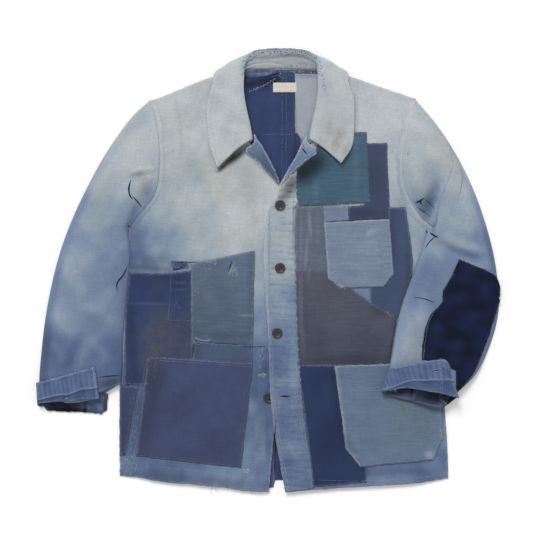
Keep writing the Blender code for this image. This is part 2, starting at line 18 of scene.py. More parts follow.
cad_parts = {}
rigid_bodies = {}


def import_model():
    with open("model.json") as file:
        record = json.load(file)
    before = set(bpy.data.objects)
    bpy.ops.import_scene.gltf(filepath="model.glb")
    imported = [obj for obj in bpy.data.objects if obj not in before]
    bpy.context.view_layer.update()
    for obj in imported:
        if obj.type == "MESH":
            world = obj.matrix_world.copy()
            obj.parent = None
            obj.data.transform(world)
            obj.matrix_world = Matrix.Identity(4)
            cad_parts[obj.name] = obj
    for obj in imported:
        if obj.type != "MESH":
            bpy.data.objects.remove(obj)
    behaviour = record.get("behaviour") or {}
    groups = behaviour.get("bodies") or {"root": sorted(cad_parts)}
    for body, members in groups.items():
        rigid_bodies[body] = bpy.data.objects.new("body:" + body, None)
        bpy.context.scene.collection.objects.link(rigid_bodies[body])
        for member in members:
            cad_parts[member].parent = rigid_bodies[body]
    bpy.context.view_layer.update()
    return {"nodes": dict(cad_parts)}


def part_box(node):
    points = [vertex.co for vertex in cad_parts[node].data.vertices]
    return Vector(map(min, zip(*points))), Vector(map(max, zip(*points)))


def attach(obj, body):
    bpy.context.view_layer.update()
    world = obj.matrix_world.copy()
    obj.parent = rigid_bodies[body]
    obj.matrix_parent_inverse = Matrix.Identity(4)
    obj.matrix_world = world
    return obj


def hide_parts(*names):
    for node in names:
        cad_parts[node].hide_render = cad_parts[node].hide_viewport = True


for leftover in list(bpy.data.objects):
    bpy.data.objects.remove(leftover, do_unlink=True)
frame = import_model()
MM = 0.001

# Cloth, as in the CAD model
CLOTH = 1.4            # panels and sleeves
PATCH = 1.0            # patches, pockets and facings
COLLAR = 1.6
CUFF = 2.0
GAP = 0.3              # air between layers
LOFT = 7.5             # underside of the fronts over the table
HEM_LOFT = 6.4         # and at the hem
HEM_Y = -240.0         # where they start to come down to it
HEM_FALL = 110.0       # and over what distance
FALL = 60.0            # distance over which the fronts come down to a seam
NECK_X = 22.0          # the middle of the back
NECK_LIFT = 2.4        # the back rises this much at the neck
NECK_LIFT_Y = 215.0
NECK_LIFT_HALF = 190.0
OVERLAP_STEP = 1.9     # the left front lies this much higher where it covers the right one
OVERLAP_END = (150.0, 265.0)     # x and y beyond which it does not
OVERLAP_FADE = (80.0, 75.0)      # distances over which that comes about
OPEN_BUTTON = (1.0, -218.5)      # the undone button, which lifts the left front
OPEN_BUTTON_RISE = 5.6
OPEN_BUTTON_SPREAD = 75.0
# The closed edges of the body: from hem to armpit, and from armhole to neck
SIDE_RIGHT = ((-251.0, -351.0), (-238.0, 74.0))
SIDE_LEFT = ((307.5, -353.0), (289.0, 64.0))
SHOULDER_RIGHT = ((-200.0, 288.0), (-54.5, 338.5))
SHOULDER_LEFT = ((251.0, 291.5), (98.5, 339.0))

LEAST_CLEARANCE = 0.1  # between the lowest cloth and the floor
MOST_CORNERS = 5000    # round the outline of a flat piece
LINE_STEP = 0.8        # spacing of the places from which the distance to a line is taken
FINE = 3.2             # spacing of the points on cloth that shows
COARSE = 6.5           # and on cloth that lies underneath
CALM = 25.0            # creases fade out towards a seam over this distance
RIGHT_SEED = 11        # for the unevenness of each front
LEFT_SEED = 31


def smooth(t):
    t = np.clip(t, 0.0, 1.0)
    return t * t * (3.0 - 2.0 * t)


def mix(a, b, t):
    return a + (b - a) * t


def bell(distance, width):
    """1 at no distance, and almost nothing at twice the width."""
    return np.exp(-((distance / width) ** 2))


def hermite(a, b, start, end, t):
    """A smooth way from a to b that sets out along start and arrives along end."""
    return (
        a * (1 + 2 * t) * (1 - t) ** 2 + start * t * (1 - t) ** 2
        + b * t * t * (3 - 2 * t) + end * t * t * (t - 1)
    )


def wobble(x, y, size, seed):
    """Even, repeatable unevenness between about -1 and 1, with features of the given size."""
    draw = np.random.default_rng(seed)
    total = 0.0
    waves = 6
    for _ in range(waves):
        angle = draw.uniform(0.0, math.pi)
        length = size * draw.uniform(0.7, 1.8)
        phase = draw.uniform(0.0, math.tau)
        across = x * math.cos(angle) + y * math.sin(angle)
        total = total + np.sin(across * math.tau / length + phase)
    return total / math.sqrt(waves * 1.5)


def creases(table, x, y):
    """Soft folds placed one by one.  Each row: start x, y; end x, y; bend; height; width on either side."""
    total = np.zeros_like(x)
    for x0, y0, x1, y1, bend, height, near, far in table:
        run = math.hypot(x1 - x0, y1 - y0)
        ux, uy = (x1 - x0) / run, (y1 - y0) / run
        along = ((x - x0) * ux + (y - y0) * uy) / run
        middle = bend * 4.0 * along * (1.0 - along)
        across = (x - x0) * -uy + (y - y0) * ux - middle
        width = np.where(across < 0.0, near, far) * (0.55 + 0.45 * np.sin(np.pi * np.clip(along, 0, 1)))
        ends = smooth(along / 0.3) * smooth((1.0 - along) / 0.3)
        total += height * ends * bell(across, width)
    return total


def blobs(table, x, y):
    """Soft spots.  Each row: x, y; half width; half height; turn in degrees; strength."""
    total = np.zeros_like(x)
    for cx, cy, half_width, half_height, turn, strength in table:
        c, s = math.cos(math.radians(turn)), math.sin(math.radians(turn))
        u = ((x - cx) * c + (y - cy) * s) / half_width
        v = ((y - cy) * c - (x - cx) * s) / half_height
        total += strength * np.exp(-((u * u + v * v) ** 1.5))
    return total


def blotches(table):
    """The soft spots of a table, as a function of the place."""
    return lambda x, y: blobs(table, x, y)


def varied(middle, amount, size, seed):
    """A value that wanders round its middle, as a function of the place."""
    return lambda x, y: middle + amount * wobble(x, y, size, seed)


# Heights of the body -----------------------------------------------------------------------------


def side_inset(line, x, y, inwards):
    (x0, y0), (x1, y1) = line
    along = np.clip((y - y0) / (y1 - y0), 0.0, 1.0)
    across = np.maximum(inwards * (x - mix(x0, x1, along)), 0.0)
    return np.hypot(across, np.maximum(y - y1, 0.0))


def shoulder_inset(line, x, y):
    (x0, y0), (x1, y1) = line
    slope = (y1 - y0) / (x1 - x0)
    return np.maximum((y0 + slope * (x - x0) - y) / math.hypot(1.0, slope), 0.0)


def seam_inset(x, y):
    """How far a point lies from the nearest closed edge of the body."""
    shoulder = np.where(
        x < NECK_X, shoulder_inset(SHOULDER_RIGHT, x, y), shoulder_inset(SHOULDER_LEFT, x, y)
    )
    sides = np.minimum(side_inset(SIDE_RIGHT, x, y, 1.0), side_inset(SIDE_LEFT, x, y, -1.0))
    return np.minimum(sides, shoulder)


def back_low(x, y):
    along = smooth((y - NECK_LIFT_Y) / FALL)
    return NECK_LIFT * along * smooth((NECK_LIFT_HALF - np.abs(x - NECK_X)) / FALL)


def plain_right_low(x, y):
    seam = back_low(x, y) + CLOTH + GAP
    full = mix(LOFT, HEM_LOFT, smooth((HEM_Y - y) / HEM_FALL))
    return mix(seam, np.maximum(full, seam), smooth(seam_inset(x, y) / FALL))


def plain_left_low(x, y):
    covers = smooth((OVERLAP_END[0] - x) / OVERLAP_FADE[0]) * smooth((OVERLAP_END[1] - y) / OVERLAP_FADE[1])
    lifted = bell(np.hypot(x - OPEN_BUTTON[0], y - OPEN_BUTTON[1]), OPEN_BUTTON_SPREAD)
    return plain_right_low(x, y) + OVERLAP_STEP * covers + OPEN_BUTTON_RISE * lifted


# Creases of each part of the jacket: start x, y; end x, y; bend; height; width on either side
RIGHT_FRONT_CREASES = (
    (-168, 60, -60, 150, 10, 0.9, 20, 30),
    (-150, -10, -40, 70, -8, -0.7, 14, 22),
    (-120, 190, -20, 60, 14, 0.7, 26, 18),
    (-70, 120, 10, 30, -6, 0.6, 14, 20),
    (-160, 230, -120, 120, 8, -0.8, 12, 20),
    (-90, 290, -50, 190, -6, 0.8, 16, 24),
    (-215, 40, -170, -20, 8, 1.0, 10, 16),
    (-200, -90, -110, -40, 10, 0.6, 16, 22),
    (-190, -220, -80, -180, 12, 0.7, 24, 18),
    (-150, -320, -60, -240, -10, 0.8, 20, 26),
    (-40, -200, -10, -330, 5, 0.9, 8, 12),
    (-235, -330, -200, -200, 4, 0.7, 8, 14),
)
LEFT_FRONT_CREASES = (
    (225, 230, 150, 60, 14, 0.8, 22, 30),
    (120, 300, 180, 180, -10, 0.8, 18, 26),
    (90, 60, 200, 20, -8, 0.6, 18, 22),
    (75, -20, 120, -150, 10, 0.8, 18, 24),
    (150, -50, 190, -150, -8, -0.6, 16, 20),
    (60, 100, 80, -60, 5, 0.7, 8, 14),
    (230, -30, 170, -120, 8, 0.8, 16, 22),
    (100, -200, 140, -340, 6, 0.9, 12, 20),
    (180, -210, 270, -300, -14, 0.8, 22, 28),
    (290, -200, 296, -330, 3, 0.8, 6, 12),
    (36, -60, 42, -300, 3, 0.6, 6, 8),
    (20, -280, 60, -350, 4, 0.9, 12, 14),
)


def drape(x, y, table, seed):
    """Creases, and slow and quick unevenness, fading towards the neck where the collar lies."""
    clear = smooth((np.hypot(x - NECK_X, (y - 300.0) * 0.9) - 95.0) / 60.0)
    slow = 0.6 * wobble(x, y, 85.0, seed) + 0.36 * wobble(x, y, 34.0, seed + 1)
    quick = 0.13 * wobble(x, y, 13.0, seed + 2)
    return mix(0.35, 1.0, clear) * (slow + quick + creases(table, x, y))


def right_drape(x, y):
    return drape(x, y, RIGHT_FRONT_CREASES, RIGHT_SEED)


def left_drape(x, y):
    return drape(x, y, LEFT_FRONT_CREASES, LEFT_SEED)


def back_top(x, y):
    return back_low(x, y) + CLOTH


def right_top(x, y):
    return plain_right_low(x, y) + CLOTH + smooth(seam_inset(x, y) / CALM) * right_drape(x, y)


def left_top(x, y):
    lies_over = smooth((60.0 - x) / 60.0)
    shape = mix(left_drape(x, y), right_drape(x, y) + GAP, lies_over)
    return plain_left_low(x, y) + CLOTH + smooth(seam_inset(x, y) / CALM) * shape


# Cutting cloth -----------------------------------------------------------------------------------


def outline_of(node):
    """The plan outline of a flat-cut piece in the frame, anticlockwise, in millimetres."""
    mesh = frame["nodes"][node].data
    spots = np.array([vert.co for vert in mesh.vertices]) / MM
    places, index = np.unique(np.round(spots, 2), axis=0, return_inverse=True)
    index = index.reshape(-1)
    after = {}
    for face in mesh.polygons:
        if face.normal.z > 0.5:
            corners = [int(index[v]) for v in face.vertices]
            for a, b in zip(corners, corners[1:] + corners[:1]):
                if after.get(b) and a in after[b]:
                    after[b].remove(a)
                else:
                    after.setdefault(a, []).append(b)
    start = next(a for a, ends in after.items() if ends)
    loop = [start]
    while len(loop) < MOST_CORNERS:
        step = after[loop[-1]][0]
        if step == start:
            break
        loop.append(step)
    points = [Vector(places[i][:2]) for i in loop]
    kept = []
    for i, point in enumerate(points):
        before = point - points[i - 1]
        beyond = points[(i + 1) % len(points)] - point
        if abs(before.angle_signed(beyond, 0.0)) > math.radians(1.5):
            kept.append(point)
    return kept


def resample(points, spacing, closed=True, corner=34.0):
    """Points evenly along a line, smooth where it bends gently and sharp at its corners."""
    count = len(points)
    points = [Vector(p[:2]) for p in points]

    def heading(i):
        if not closed and i in (0, count - 1):
            return None
        before = points[i] - points[i - 1]
        beyond = points[(i + 1) % count] - points[i]
        if abs(math.degrees(before.angle_signed(beyond, 0.0))) > corner:
            return None
        return (before.normalized() + beyond.normalized()).normalized()

    line = []
    for i in range(count if closed else count - 1):
        a, b = points[i], points[(i + 1) % count]
        span = (b - a).length
        straight = (b - a).normalized()
        start = (heading(i) or straight) * span
        end = (heading((i + 1) % count) or straight) * span
        steps = max(1, round(span / spacing))
        line += [hermite(a, b, start, end, k / steps) for k in range(steps)]
    if not closed:
        line.append(points[-1])
    return line


def roughened(line, amount, seed):
    """Moves the points of a closed line a little to the side, unevenly."""
    draw = np.random.default_rng(seed)
    shift = draw.normal(0.0, amount, len(line))
    shift = 0.5 * shift + 0.5 * np.roll(shift, 1)
    moved = []
    for i, point in enumerate(line):
        along = (line[(i + 1) % len(line)] - line[i - 1]).normalized()
        moved.append(point + Vector((along.y, -along.x)) * shift[i])
    return moved


def inside(line, x, y):
    """Which of the points lie inside a closed line."""
    result = np.zeros(len(x), bool)
    for a, b in zip(line, line[1:] + line[:1]):
        if a.y != b.y:
            crosses = (a.y > y) != (b.y > y)
            at = a.x + (y - a.y) * (b.x - a.x) / (b.y - a.y)
            result ^= crosses & (x < at)
    return result


def to_line(line, x, y, closed=True):
    """Distance from each point to a line, and how far along the line that is."""
    run = 0.0
    places = []
    marks = []
    for a, b in zip(line, line[1:] + (line[:1] if closed else [])):
        length = (b - a).length
        steps = max(1, round(length / LINE_STEP))
        for k in range(steps):
            places.append(a.lerp(b, k / steps))
            marks.append(run + length * k / steps)
        run += length
    tree = KDTree(len(places))
    for i, place in enumerate(places):
        tree.insert((place.x, place.y, 0.0), i)
    tree.balance()
    found = [tree.find((px, py, 0.0)) for px, py in zip(x, y)]
    distance = np.array([f[2] for f in found])
    along = np.array([marks[f[1]] for f in found])
    return distance, along


def set_field(mesh, name, values):
    layer = mesh.attributes.new(name, "FLOAT", "POINT")
    layer.data.foreach_set("value", np.asarray(values, np.float32))


def add_object(name, points, faces, material, nodes, thick=0.0, offset=-1.0):
    """Makes the piece, in metres, riding on the jacket and standing for its CAD nodes."""
    mesh = bpy.data.meshes.new(name)
    mesh.from_pydata((np.asarray(points, float) * MM).tolist(), [], faces)
    mesh.update()
    mesh.shade_smooth()
    made = bpy.data.objects.new(name, mesh)
    bpy.context.scene.collection.objects.link(made)
    mesh.materials.append(material)
    if thick:
        wall = made.modifiers.new("thickness", "SOLIDIFY")
        wall.thickness = thick * MM
        wall.offset = offset
        wall.use_even_offset = False
    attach(made, "root")
    if nodes:
        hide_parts(*nodes)
    return made


def signed_area(line):
    """Area inside a closed line, more than 0 if it runs anticlockwise."""
    return sum(a.x * b.y - b.x * a.y for a, b in zip(line, line[1:] + line[:1])) / 2


def cut(line, spacing, seed):
    """Points and triangles that fill a closed line evenly."""
    draw = np.random.default_rng(seed)
    xs = [p.x for p in line]
    ys = [p.y for p in line]
    row = spacing * math.sqrt(3) / 2
    gx, gy = np.meshgrid(
        np.arange(min(xs), max(xs), spacing), np.arange(min(ys), max(ys), row)
    )
    gx = gx + (np.arange(len(gx)) % 2)[:, None] * spacing / 2
    gx = gx.ravel() + draw.uniform(-0.12, 0.12, gx.size) * spacing
    gy = gy.ravel() + draw.uniform(-0.12, 0.12, gy.size) * spacing
    keep = inside(line, gx, gy)
    gx, gy = gx[keep], gy[keep]
    distance, _ = to_line(line, gx, gy)
    keep = distance > spacing * 0.55
    gx, gy = gx[keep], gy[keep]
    spots = [Vector(p) for p in line] + [Vector(p) for p in zip(gx, gy)]
    rim = [(i, (i + 1) % len(line)) for i in range(len(line))]
    made = delaunay_2d_cdt(spots, rim, [], 1, 1e-4, False)
    points = np.array([tuple(p) for p in made[0]])
    corners = np.array([list(face) for face in made[2]])
    middles = points[corners].mean(axis=1)
    corners = corners[inside(line, middles[:, 0], middles[:, 1])]
    (ax, ay), (bx, by), (cx, cy) = (points[corners[:, i]].T for i in range(3))
    turned = (bx - ax) * (cy - ay) - (by - ay) * (cx - ax) < 0.0
    corners[turned] = corners[turned][:, ::-1]
    return points, [tuple(int(i) for i in face) for face in corners]


# Materials ---------------------------------------------------------------------------------------


def paint(code):
    """A colour written as in a web page, as linear values."""
    values = [int(code[i:i + 2], 16) / 255 for i in (1, 3, 5)]
    return [v / 12.92 if v <= 0.04045 else ((v + 0.055) / 1.055) ** 2.4 for v in values] + [1.0]


def set_inputs(node, values):
    for name, value in values.items():
        node.inputs[name].default_value = value


class Tree:
    """Short names for the few shader nodes that the cloths are made of."""

    def __init__(self, name):
        self.material = bpy.data.materials.new(name)
        self.material.use_nodes = True
        self.nodes = self.material.node_tree.nodes
        self.links = self.material.node_tree.links
        self.shader = self.nodes["Principled BSDF"]
        self.place = self.nodes.new("ShaderNodeTexCoord").outputs["Object"]

    def put(self, socket, value):
        if isinstance(value, bpy.types.NodeSocket):
            self.links.new(value, socket)
        else:
            socket.default_value = value

    def field(self, name):
        made = self.nodes.new("ShaderNodeAttribute")
        made.attribute_name = name
        return made.outputs["Fac"]

    def calc(self, operation, a, b, clamp=False):
        made = self.nodes.new("ShaderNodeMath")
        made.operation = operation
        made.use_clamp = clamp
        self.put(made.inputs[0], a)
        self.put(made.inputs[1], b)
        return made.outputs[0]

    def swing(self, value, strength):
        """A noise as a swing about 0."""
        return self.calc("MULTIPLY", self.calc("SUBTRACT", value, 0.5), strength)

    def between(self, value, low, high, out_low=0.0, out_high=1.0):
        made = self.nodes.new("ShaderNodeMapRange")
        made.interpolation_type = "SMOOTHSTEP"
        self.put(made.inputs["Value"], value)
        set_inputs(made, {"From Min": low, "From Max": high, "To Min": out_low, "To Max": out_high})
        return made.outputs["Result"]

    def texture(self, kind, turn, stretch, values):
        """A texture node, turned by so many degrees and longer where stretch is more."""
        turned = self.nodes.new("ShaderNodeMapping")
        scale = [1.0 / s for s in stretch]
        set_inputs(turned, {"Rotation": (0.0, 0.0, math.radians(turn)), "Scale": scale})
        self.links.new(self.place, turned.inputs["Vector"])
        made = self.nodes.new(kind)
        set_inputs(made, values)
        self.links.new(turned.outputs["Vector"], made.inputs["Vector"])
        return made.outputs["Fac"]

    def noise(self, size, detail, stretch=(1.0, 1.0, 1.0), turn=0.0, rough=0.6):
        """Noise with features of about this size in millimetres."""
        values = {"Scale": 1.0 / (size * MM), "Detail": detail, "Roughness": rough}
        return self.texture("ShaderNodeTexNoise", turn, stretch, values)

    def twill(self, pitch, turn):
        """Fine slanting ribs."""
        scale = math.tau / (20.0 * pitch * MM)
        values = {"Scale": scale, "Distortion": 1.2, "Detail": 1.0, "Detail Scale": 2.0}
        return self.texture("ShaderNodeTexWave", turn, (1.0, 1.0, 1.0), values)

    def blend(self, factor, a, b, kind="MIX"):
        made = self.nodes.new("ShaderNodeMix")
        made.data_type = "RGBA"
        made.blend_type = kind
        self.put(made.inputs[0], factor)
        self.put(made.inputs[6], a)
        self.put(made.inputs[7], b)
        return made.outputs[2]

    def ramp(self, value, stops):
        made = self.nodes.new("ShaderNodeValToRGB")
        elements = made.color_ramp.elements
        while len(elements) < len(stops):
            elements.new(0.5)
        for element, (place, code) in zip(elements, stops):
            element.position = place
            element.color = paint(code)
        self.links.new(value, made.inputs["Fac"])
        return made.outputs["Color"]

    def grey(self, value):
        made = self.nodes.new("ShaderNodeCombineColor")
        for socket in made.inputs[:3]:
            self.links.new(value, socket)
        return made.outputs["Color"]


FLECK = "#5a6684"
RIB_TURN = 45.0        # degrees between the ribs of the twill and the wearer's level


def cloth(name, stops, wear, stain="#4c4a44", worn="#a9b2bd", mottle=0.35, grain=1.0, slub=90.0,
          streaks=0.0, ribs=1.3, sheen=0.12):
    """Woven cotton.  stops: its colours from still blue to washed out; wear: how pale its edges are;
    mottle: how unevenly it has faded; slub: the direction of its thicker yarns; ribs: their pitch."""
    tree = Tree(name)
    large = tree.noise(55.0, 4.0)
    middle = tree.noise(14.0, 3.0)
    fine = tree.noise(2.6, 3.0, rough=0.75)
    weft = tree.noise(1.5, 3.0, stretch=(16.0, 1.0, 1.0), turn=slub)
    warp = tree.noise(1.5, 3.0, stretch=(1.0, 13.0, 1.0), turn=slub)
    ribs_seen = tree.twill(ribs, RIB_TURN)
    # Where on its range of fading the cloth is
    drift = tree.calc("ADD", tree.swing(large, mottle), tree.swing(middle, mottle * 0.5))
    crest = tree.calc("MULTIPLY", tree.field("crest"), 0.11)
    faded = tree.calc("ADD", tree.calc("ADD", tree.field("fade"), drift), crest)
    colour = tree.ramp(tree.calc("ADD", faded, 0.0, clamp=True), stops)
    # Stains soak in unevenly
    taken = tree.between(middle, 0.3, 0.66, 0.45, 1.0)
    soaked = tree.calc("MULTIPLY", tree.field("stain"), taken, clamp=True)
    colour = tree.blend(soaked, colour, paint(stain))
    # Worn edges and seams, broken up by the cloth's own grain
    rim = tree.between(tree.field("edge"), 0.0, 4.2, 1.0, 0.0)
    rubbed = tree.calc("MULTIPLY", rim, tree.between(fine, 0.42, 0.66, 0.1, 1.0))
    rubbed = tree.calc("ADD", tree.calc("MULTIPLY", rubbed, wear), tree.field("rub"), clamp=True)
    colour = tree.blend(rubbed, colour, paint(worn))
    # Dark flecks where a fold has worn through to the yarn
    flecks = tree.between(tree.noise(2.4, 2.0, rough=0.7), 0.52, 0.58)
    colour = tree.blend(tree.calc("MULTIPLY", flecks, tree.field("fleck")), colour, paint(FLECK))
    # Grain of the yarns, and painted shade: shadows of folds and of what hangs over, and darker tone
    light = tree.swing(fine, 0.42 * grain)
    for value, share in ((weft, 0.34), (warp, 0.26), (ribs_seen, 0.05)):
        light = tree.calc("ADD", light, tree.swing(value, share * grain))
    if streaks:
        lines = tree.noise(2.0, 2.0, stretch=(30.0, 1.0, 1.0), turn=slub)
        lines = tree.between(lines, 0.36, 0.7, -streaks, streaks)
        light = tree.calc("ADD", light, lines)
    light = tree.calc("ADD", light, 1.0)
    light = tree.calc("MULTIPLY", light, tree.calc("SUBTRACT", 1.0, tree.field("shade")))
    colour = tree.blend(1.0, colour, tree.grey(light), "MULTIPLY")
    tree.links.new(colour, tree.shader.inputs["Base Color"])
    set_inputs(tree.shader, {
        "Roughness": 0.92, "Specular IOR Level": 0.2, "Sheen Weight": sheen, "Sheen Roughness": 0.5,
    })
    height = tree.calc("MULTIPLY", ribs_seen, 0.35)
    for value, share in ((fine, 0.7), (weft, 0.6), (warp, 0.5), (middle, 1.3)):
        height = tree.calc("ADD", height, tree.calc("MULTIPLY", value, share))
    bump = tree.nodes.new("ShaderNodeBump")
    set_inputs(bump, {"Strength": 0.55, "Distance": 0.5 * MM})
    tree.links.new(height, bump.inputs["Height"])
    tree.links.new(bump.outputs["Normal"], tree.shader.inputs["Normal"])
    return tree.material


def plain(name, code, rough=0.9, specular=0.2, uneven=0.25, size=6.0):
    """Thread, horn and other small things: one colour with a little unevenness."""
    tree = Tree(name)
    light = tree.between(tree.noise(size, 3.0), 0.3, 0.7, 1.0 - uneven, 1.0 + uneven)
    colour = tree.blend(1.0, paint(code), tree.grey(light), "MULTIPLY")
    tree.links.new(colour, tree.shader.inputs["Base Color"])
    set_inputs(tree.shader, {"Roughness": rough, "Specular IOR Level": specular})
    return tree.material


BODY_STOPS = ((0.0, "#46556f"), (0.16, "#56688a"), (0.4, "#7788a1"), (0.64, "#98a5b0"), (0.96, "#b9bfc1"))
CLOTHS = {
    "body": cloth("faded_cotton", BODY_STOPS, stain="#8f8a78", worn="#c9ced0", wear=0.5, mottle=0.085),
    "collar": cloth("collar_cotton", BODY_STOPS, stain="#8f8873", worn="#ced3d6", wear=0.5, mottle=0.06),
    "inner_pale": cloth("inner_pale", ((0.0, "#8a93a0"), (1.0, "#aeb4bb")), wear=0.1),
    "inner_blue": cloth("inner_blue", ((0.0, "#29355a"), (1.0, "#3d4b72")), wear=0.2, worn="#7f8cab"),
    "breast": cloth("breast_cotton", ((0.0, "#435168"), (1.0, "#687589")), wear=0.55, streaks=0.06),
    "strip": cloth("strip_cotton", ((0.0, "#3c4a63"), (1.0, "#4f5e78")), wear=0.5),
    "side": cloth("side_cotton", ((0.0, "#27325a"), (1.0, "#3f4c6c")), stain="#4b4f57", wear=0.4),
    "hip": cloth("hip_cotton", ((0.0, "#363f5e"), (1.0, "#4a5575")), wear=0.3, mottle=0.45),
    "teal": cloth("teal_cotton", ((0.0, "#3a5266"), (1.0, "#4c6a7e")), wear=0.3, mottle=0.3, streaks=0.1),
    "plum": cloth("plum_cotton", ((0.0, "#323b55"), (1.0, "#48526d")), wear=0.25),
    "tab": cloth("tab_denim", ((0.0, "#66728b"), (1.0, "#7b879f")), wear=0.6),
    "grey": cloth("grey_cotton", ((0.0, "#4f5968"), (1.0, "#6a7484")), wear=0.35, streaks=0.12),
    "mid": cloth("mid_cotton", ((0.0, "#323e58"), (1.0, "#4c5976")), wear=0.5),
    "brown": cloth("brown_cotton", ((0.0, "#3c3f52"), (1.0, "#575a67")), stain="#45404d", wear=0.3,
        slub=0.0, streaks=0.08),
    "navy": cloth("navy_cotton", ((0.0, "#202d4d"), (1.0, "#313f61")), wear=0.55),
    "elbow": cloth("elbow_cotton", ((0.0, "#060d1d"), (1.0, "#152040")), wear=0.12, worn="#2c3856",
        sheen=0.0),
    "chest": cloth("chest_denim", ((0.0, "#66758c"), (1.0, "#8391a5")), wear=0.6, grain=1.1, slub=0.0,
        streaks=0.1),
    "pocket": cloth("pocket_cotton", ((0.0, "#54657d"), (1.0, "#6f8098")), stain="#5d6a5c", wear=0.7,
        streaks=0.05),
    "placket": cloth("placket_denim", BODY_STOPS, wear=0.5, grain=1.15, mottle=0.2, slub=0.0, streaks=0.07),
    "lapel": cloth("lapel_denim", ((0.0, "#4e5e79"), (0.55, "#7485a0"), (1.0, "#a6b0bb")), wear=0.9,
        worn="#c6cdd3"),
    "cuff_inner": cloth("cuff_inner", ((0.0, "#2c3b55"), (1.0, "#65769a")), wear=0.4, worn="#7f8fab"),
    "cuff": cloth("cuff_cotton", ((0.0, "#435579"), (1.0, "#5f7296")), wear=0.7, worn="#93a2b8"),
    "label": cloth("label_tape", ((0.0, "#cdc6ba"), (1.0, "#e0dace")), wear=0.0, grain=0.5, mottle=0.3,
        ribs=0.8),
}
# The dark thread also draws painted shadow: most of the slits are laid in it
THREAD_COLOURS = {"pale": "#aab3bd", "blue": "#7484a0", "dark": "#2b3046", "white": "#cfd3d3"}
THREADS = {colour: plain(colour + "_thread", code, size=5.0) for colour, code in THREAD_COLOURS.items()}
# Black is no thread: it is the painted shadow of the slits, buttonholes and fold lines
THREADS["black"] = plain("black_slit_shadow", "#10141f", size=5.0, specular=0.0)


def spread(table, x, y, reach=24.0):
    """A value carried smoothly from a few places.  Each row: x, y, value."""
    total = np.zeros_like(x)
    weights = np.zeros_like(x)
    for px, py, value in table:
        weight = 1.0 / ((x - px) ** 2 + (y - py) ** 2 + reach * reach) ** 2
        total += weight * value
        weights += weight
    return total / weights


LEAST_FADE = -0.2      # where BODY_STOPS starts, on the scale of the tables below
FADE_RANGE = 1.25      # and how far it goes on from there


def body_fade(table):
    """Fading read from a table, as a share of the body cloth's range of colours."""
    return lambda x, y: (spread(table, x, y) - LEAST_FADE) / FADE_RANGE


# x, y, fading of the body's cloth: 1 washed out, 0 still blue
RIGHT_FADE = (
    (-167, 271, 1.0), (-116, 254, 0.92), (-133, 203, 0.92), (-65, 135, 0.9), (-150, 135, 0.66),
    (-175, 186, 0.85), (-116, 84, 0.8), (-31, 84, 0.92), (-167, 50, 0.46), (-150, 74, 0.6),
    (-226, 50, 0.12), (-56, 50, 0.87), (-10, 0, 0.62), (-10, -103, 0.3), (-22, -140, 0.0),
    (-10, -171, -0.06), (-10, -273, 0.02), (-116, -349, 0.04), (-218, -341, 0.0), (-65, -358, 0.24),
    (10, 110, 0.95), (-224, -260, -0.1), (-4, -345, 0.12), (-200, 12, 0.12),
)
LEFT_FADE = (
    (173, 288, 0.95), (216, 275, 0.98), (190, 254, 0.95), (211, 220, 0.82), (218, 169, 0.62),
    (228, 118, 0.5), (236, 88, 0.62), (236, 56, 0.52), (233, -52, 0.1), (292, -358, 0.06),
    (207, -358, 0.08), (302, -273, 0.06), (120, 300, 0.95), (60, 230, 0.9), (225, 262, 1.0),
)
RIGHT_SLEEVE_FADE = (
    (-200, 271, 0.9), (-218, 220, 0.95), (-235, 169, 0.85), (-269, 152, 0.66), (-252, 84, 0.32),
    (-303, 84, 0.46), (-320, 16, 0.42), (-269, 0, 0.2), (-337, -69, 0.34), (-286, -86, 0.24),
    (-354, -137, 0.0), (-286, -137, 0.04), (-262, -31, 0.12), (-258, -171, -0.08), (-250, 84, 0.22),
    (-207, 128, 0.3), (-218, 156, 0.85),
)
LEFT_SLEEVE_FADE = (
    (258, 271, 1.0), (275, 220, 0.9), (275, 169, 0.56), (326, 169, 0.78), (343, 101, 0.52), (318, 76, 0.4),
    (296, 52, 0.4), (360, 33, 0.2), (301, 16, 0.16), (275, -35, 0.14), (241, -86, 0.34), (224, -137, 0.44),
    (340, -185, 0.3), (250, 60, 0.5),
)


def half_faded(x, y):
    return np.full_like(x, 0.5)


def none(x, y):
    return np.zeros_like(x)


# Flat-cut pieces ---------------------------------------------------------------------------------

# x, y along each armhole seam, from the shoulder to the armpit
ARMHOLE_RIGHT = (
    (-200, 288), (-189.5, 254), (-185.5, 221), (-184.5, 186), (-187, 152), (-195.5, 123), (-211.5, 103),
    (-226, 86), (-238, 74),
)
ARMHOLE_LEFT = (
    (251, 291.5), (243, 262), (234.5, 230.5), (228.5, 203), (227, 172.5), (229.5, 145.5), (239, 118),
    (256, 91), (289, 64),
)

SURFACES = []          # every cloth piece, for what is sewn on or lies on them
OUTLINES = {}          # the plan outline of each flat piece, by name


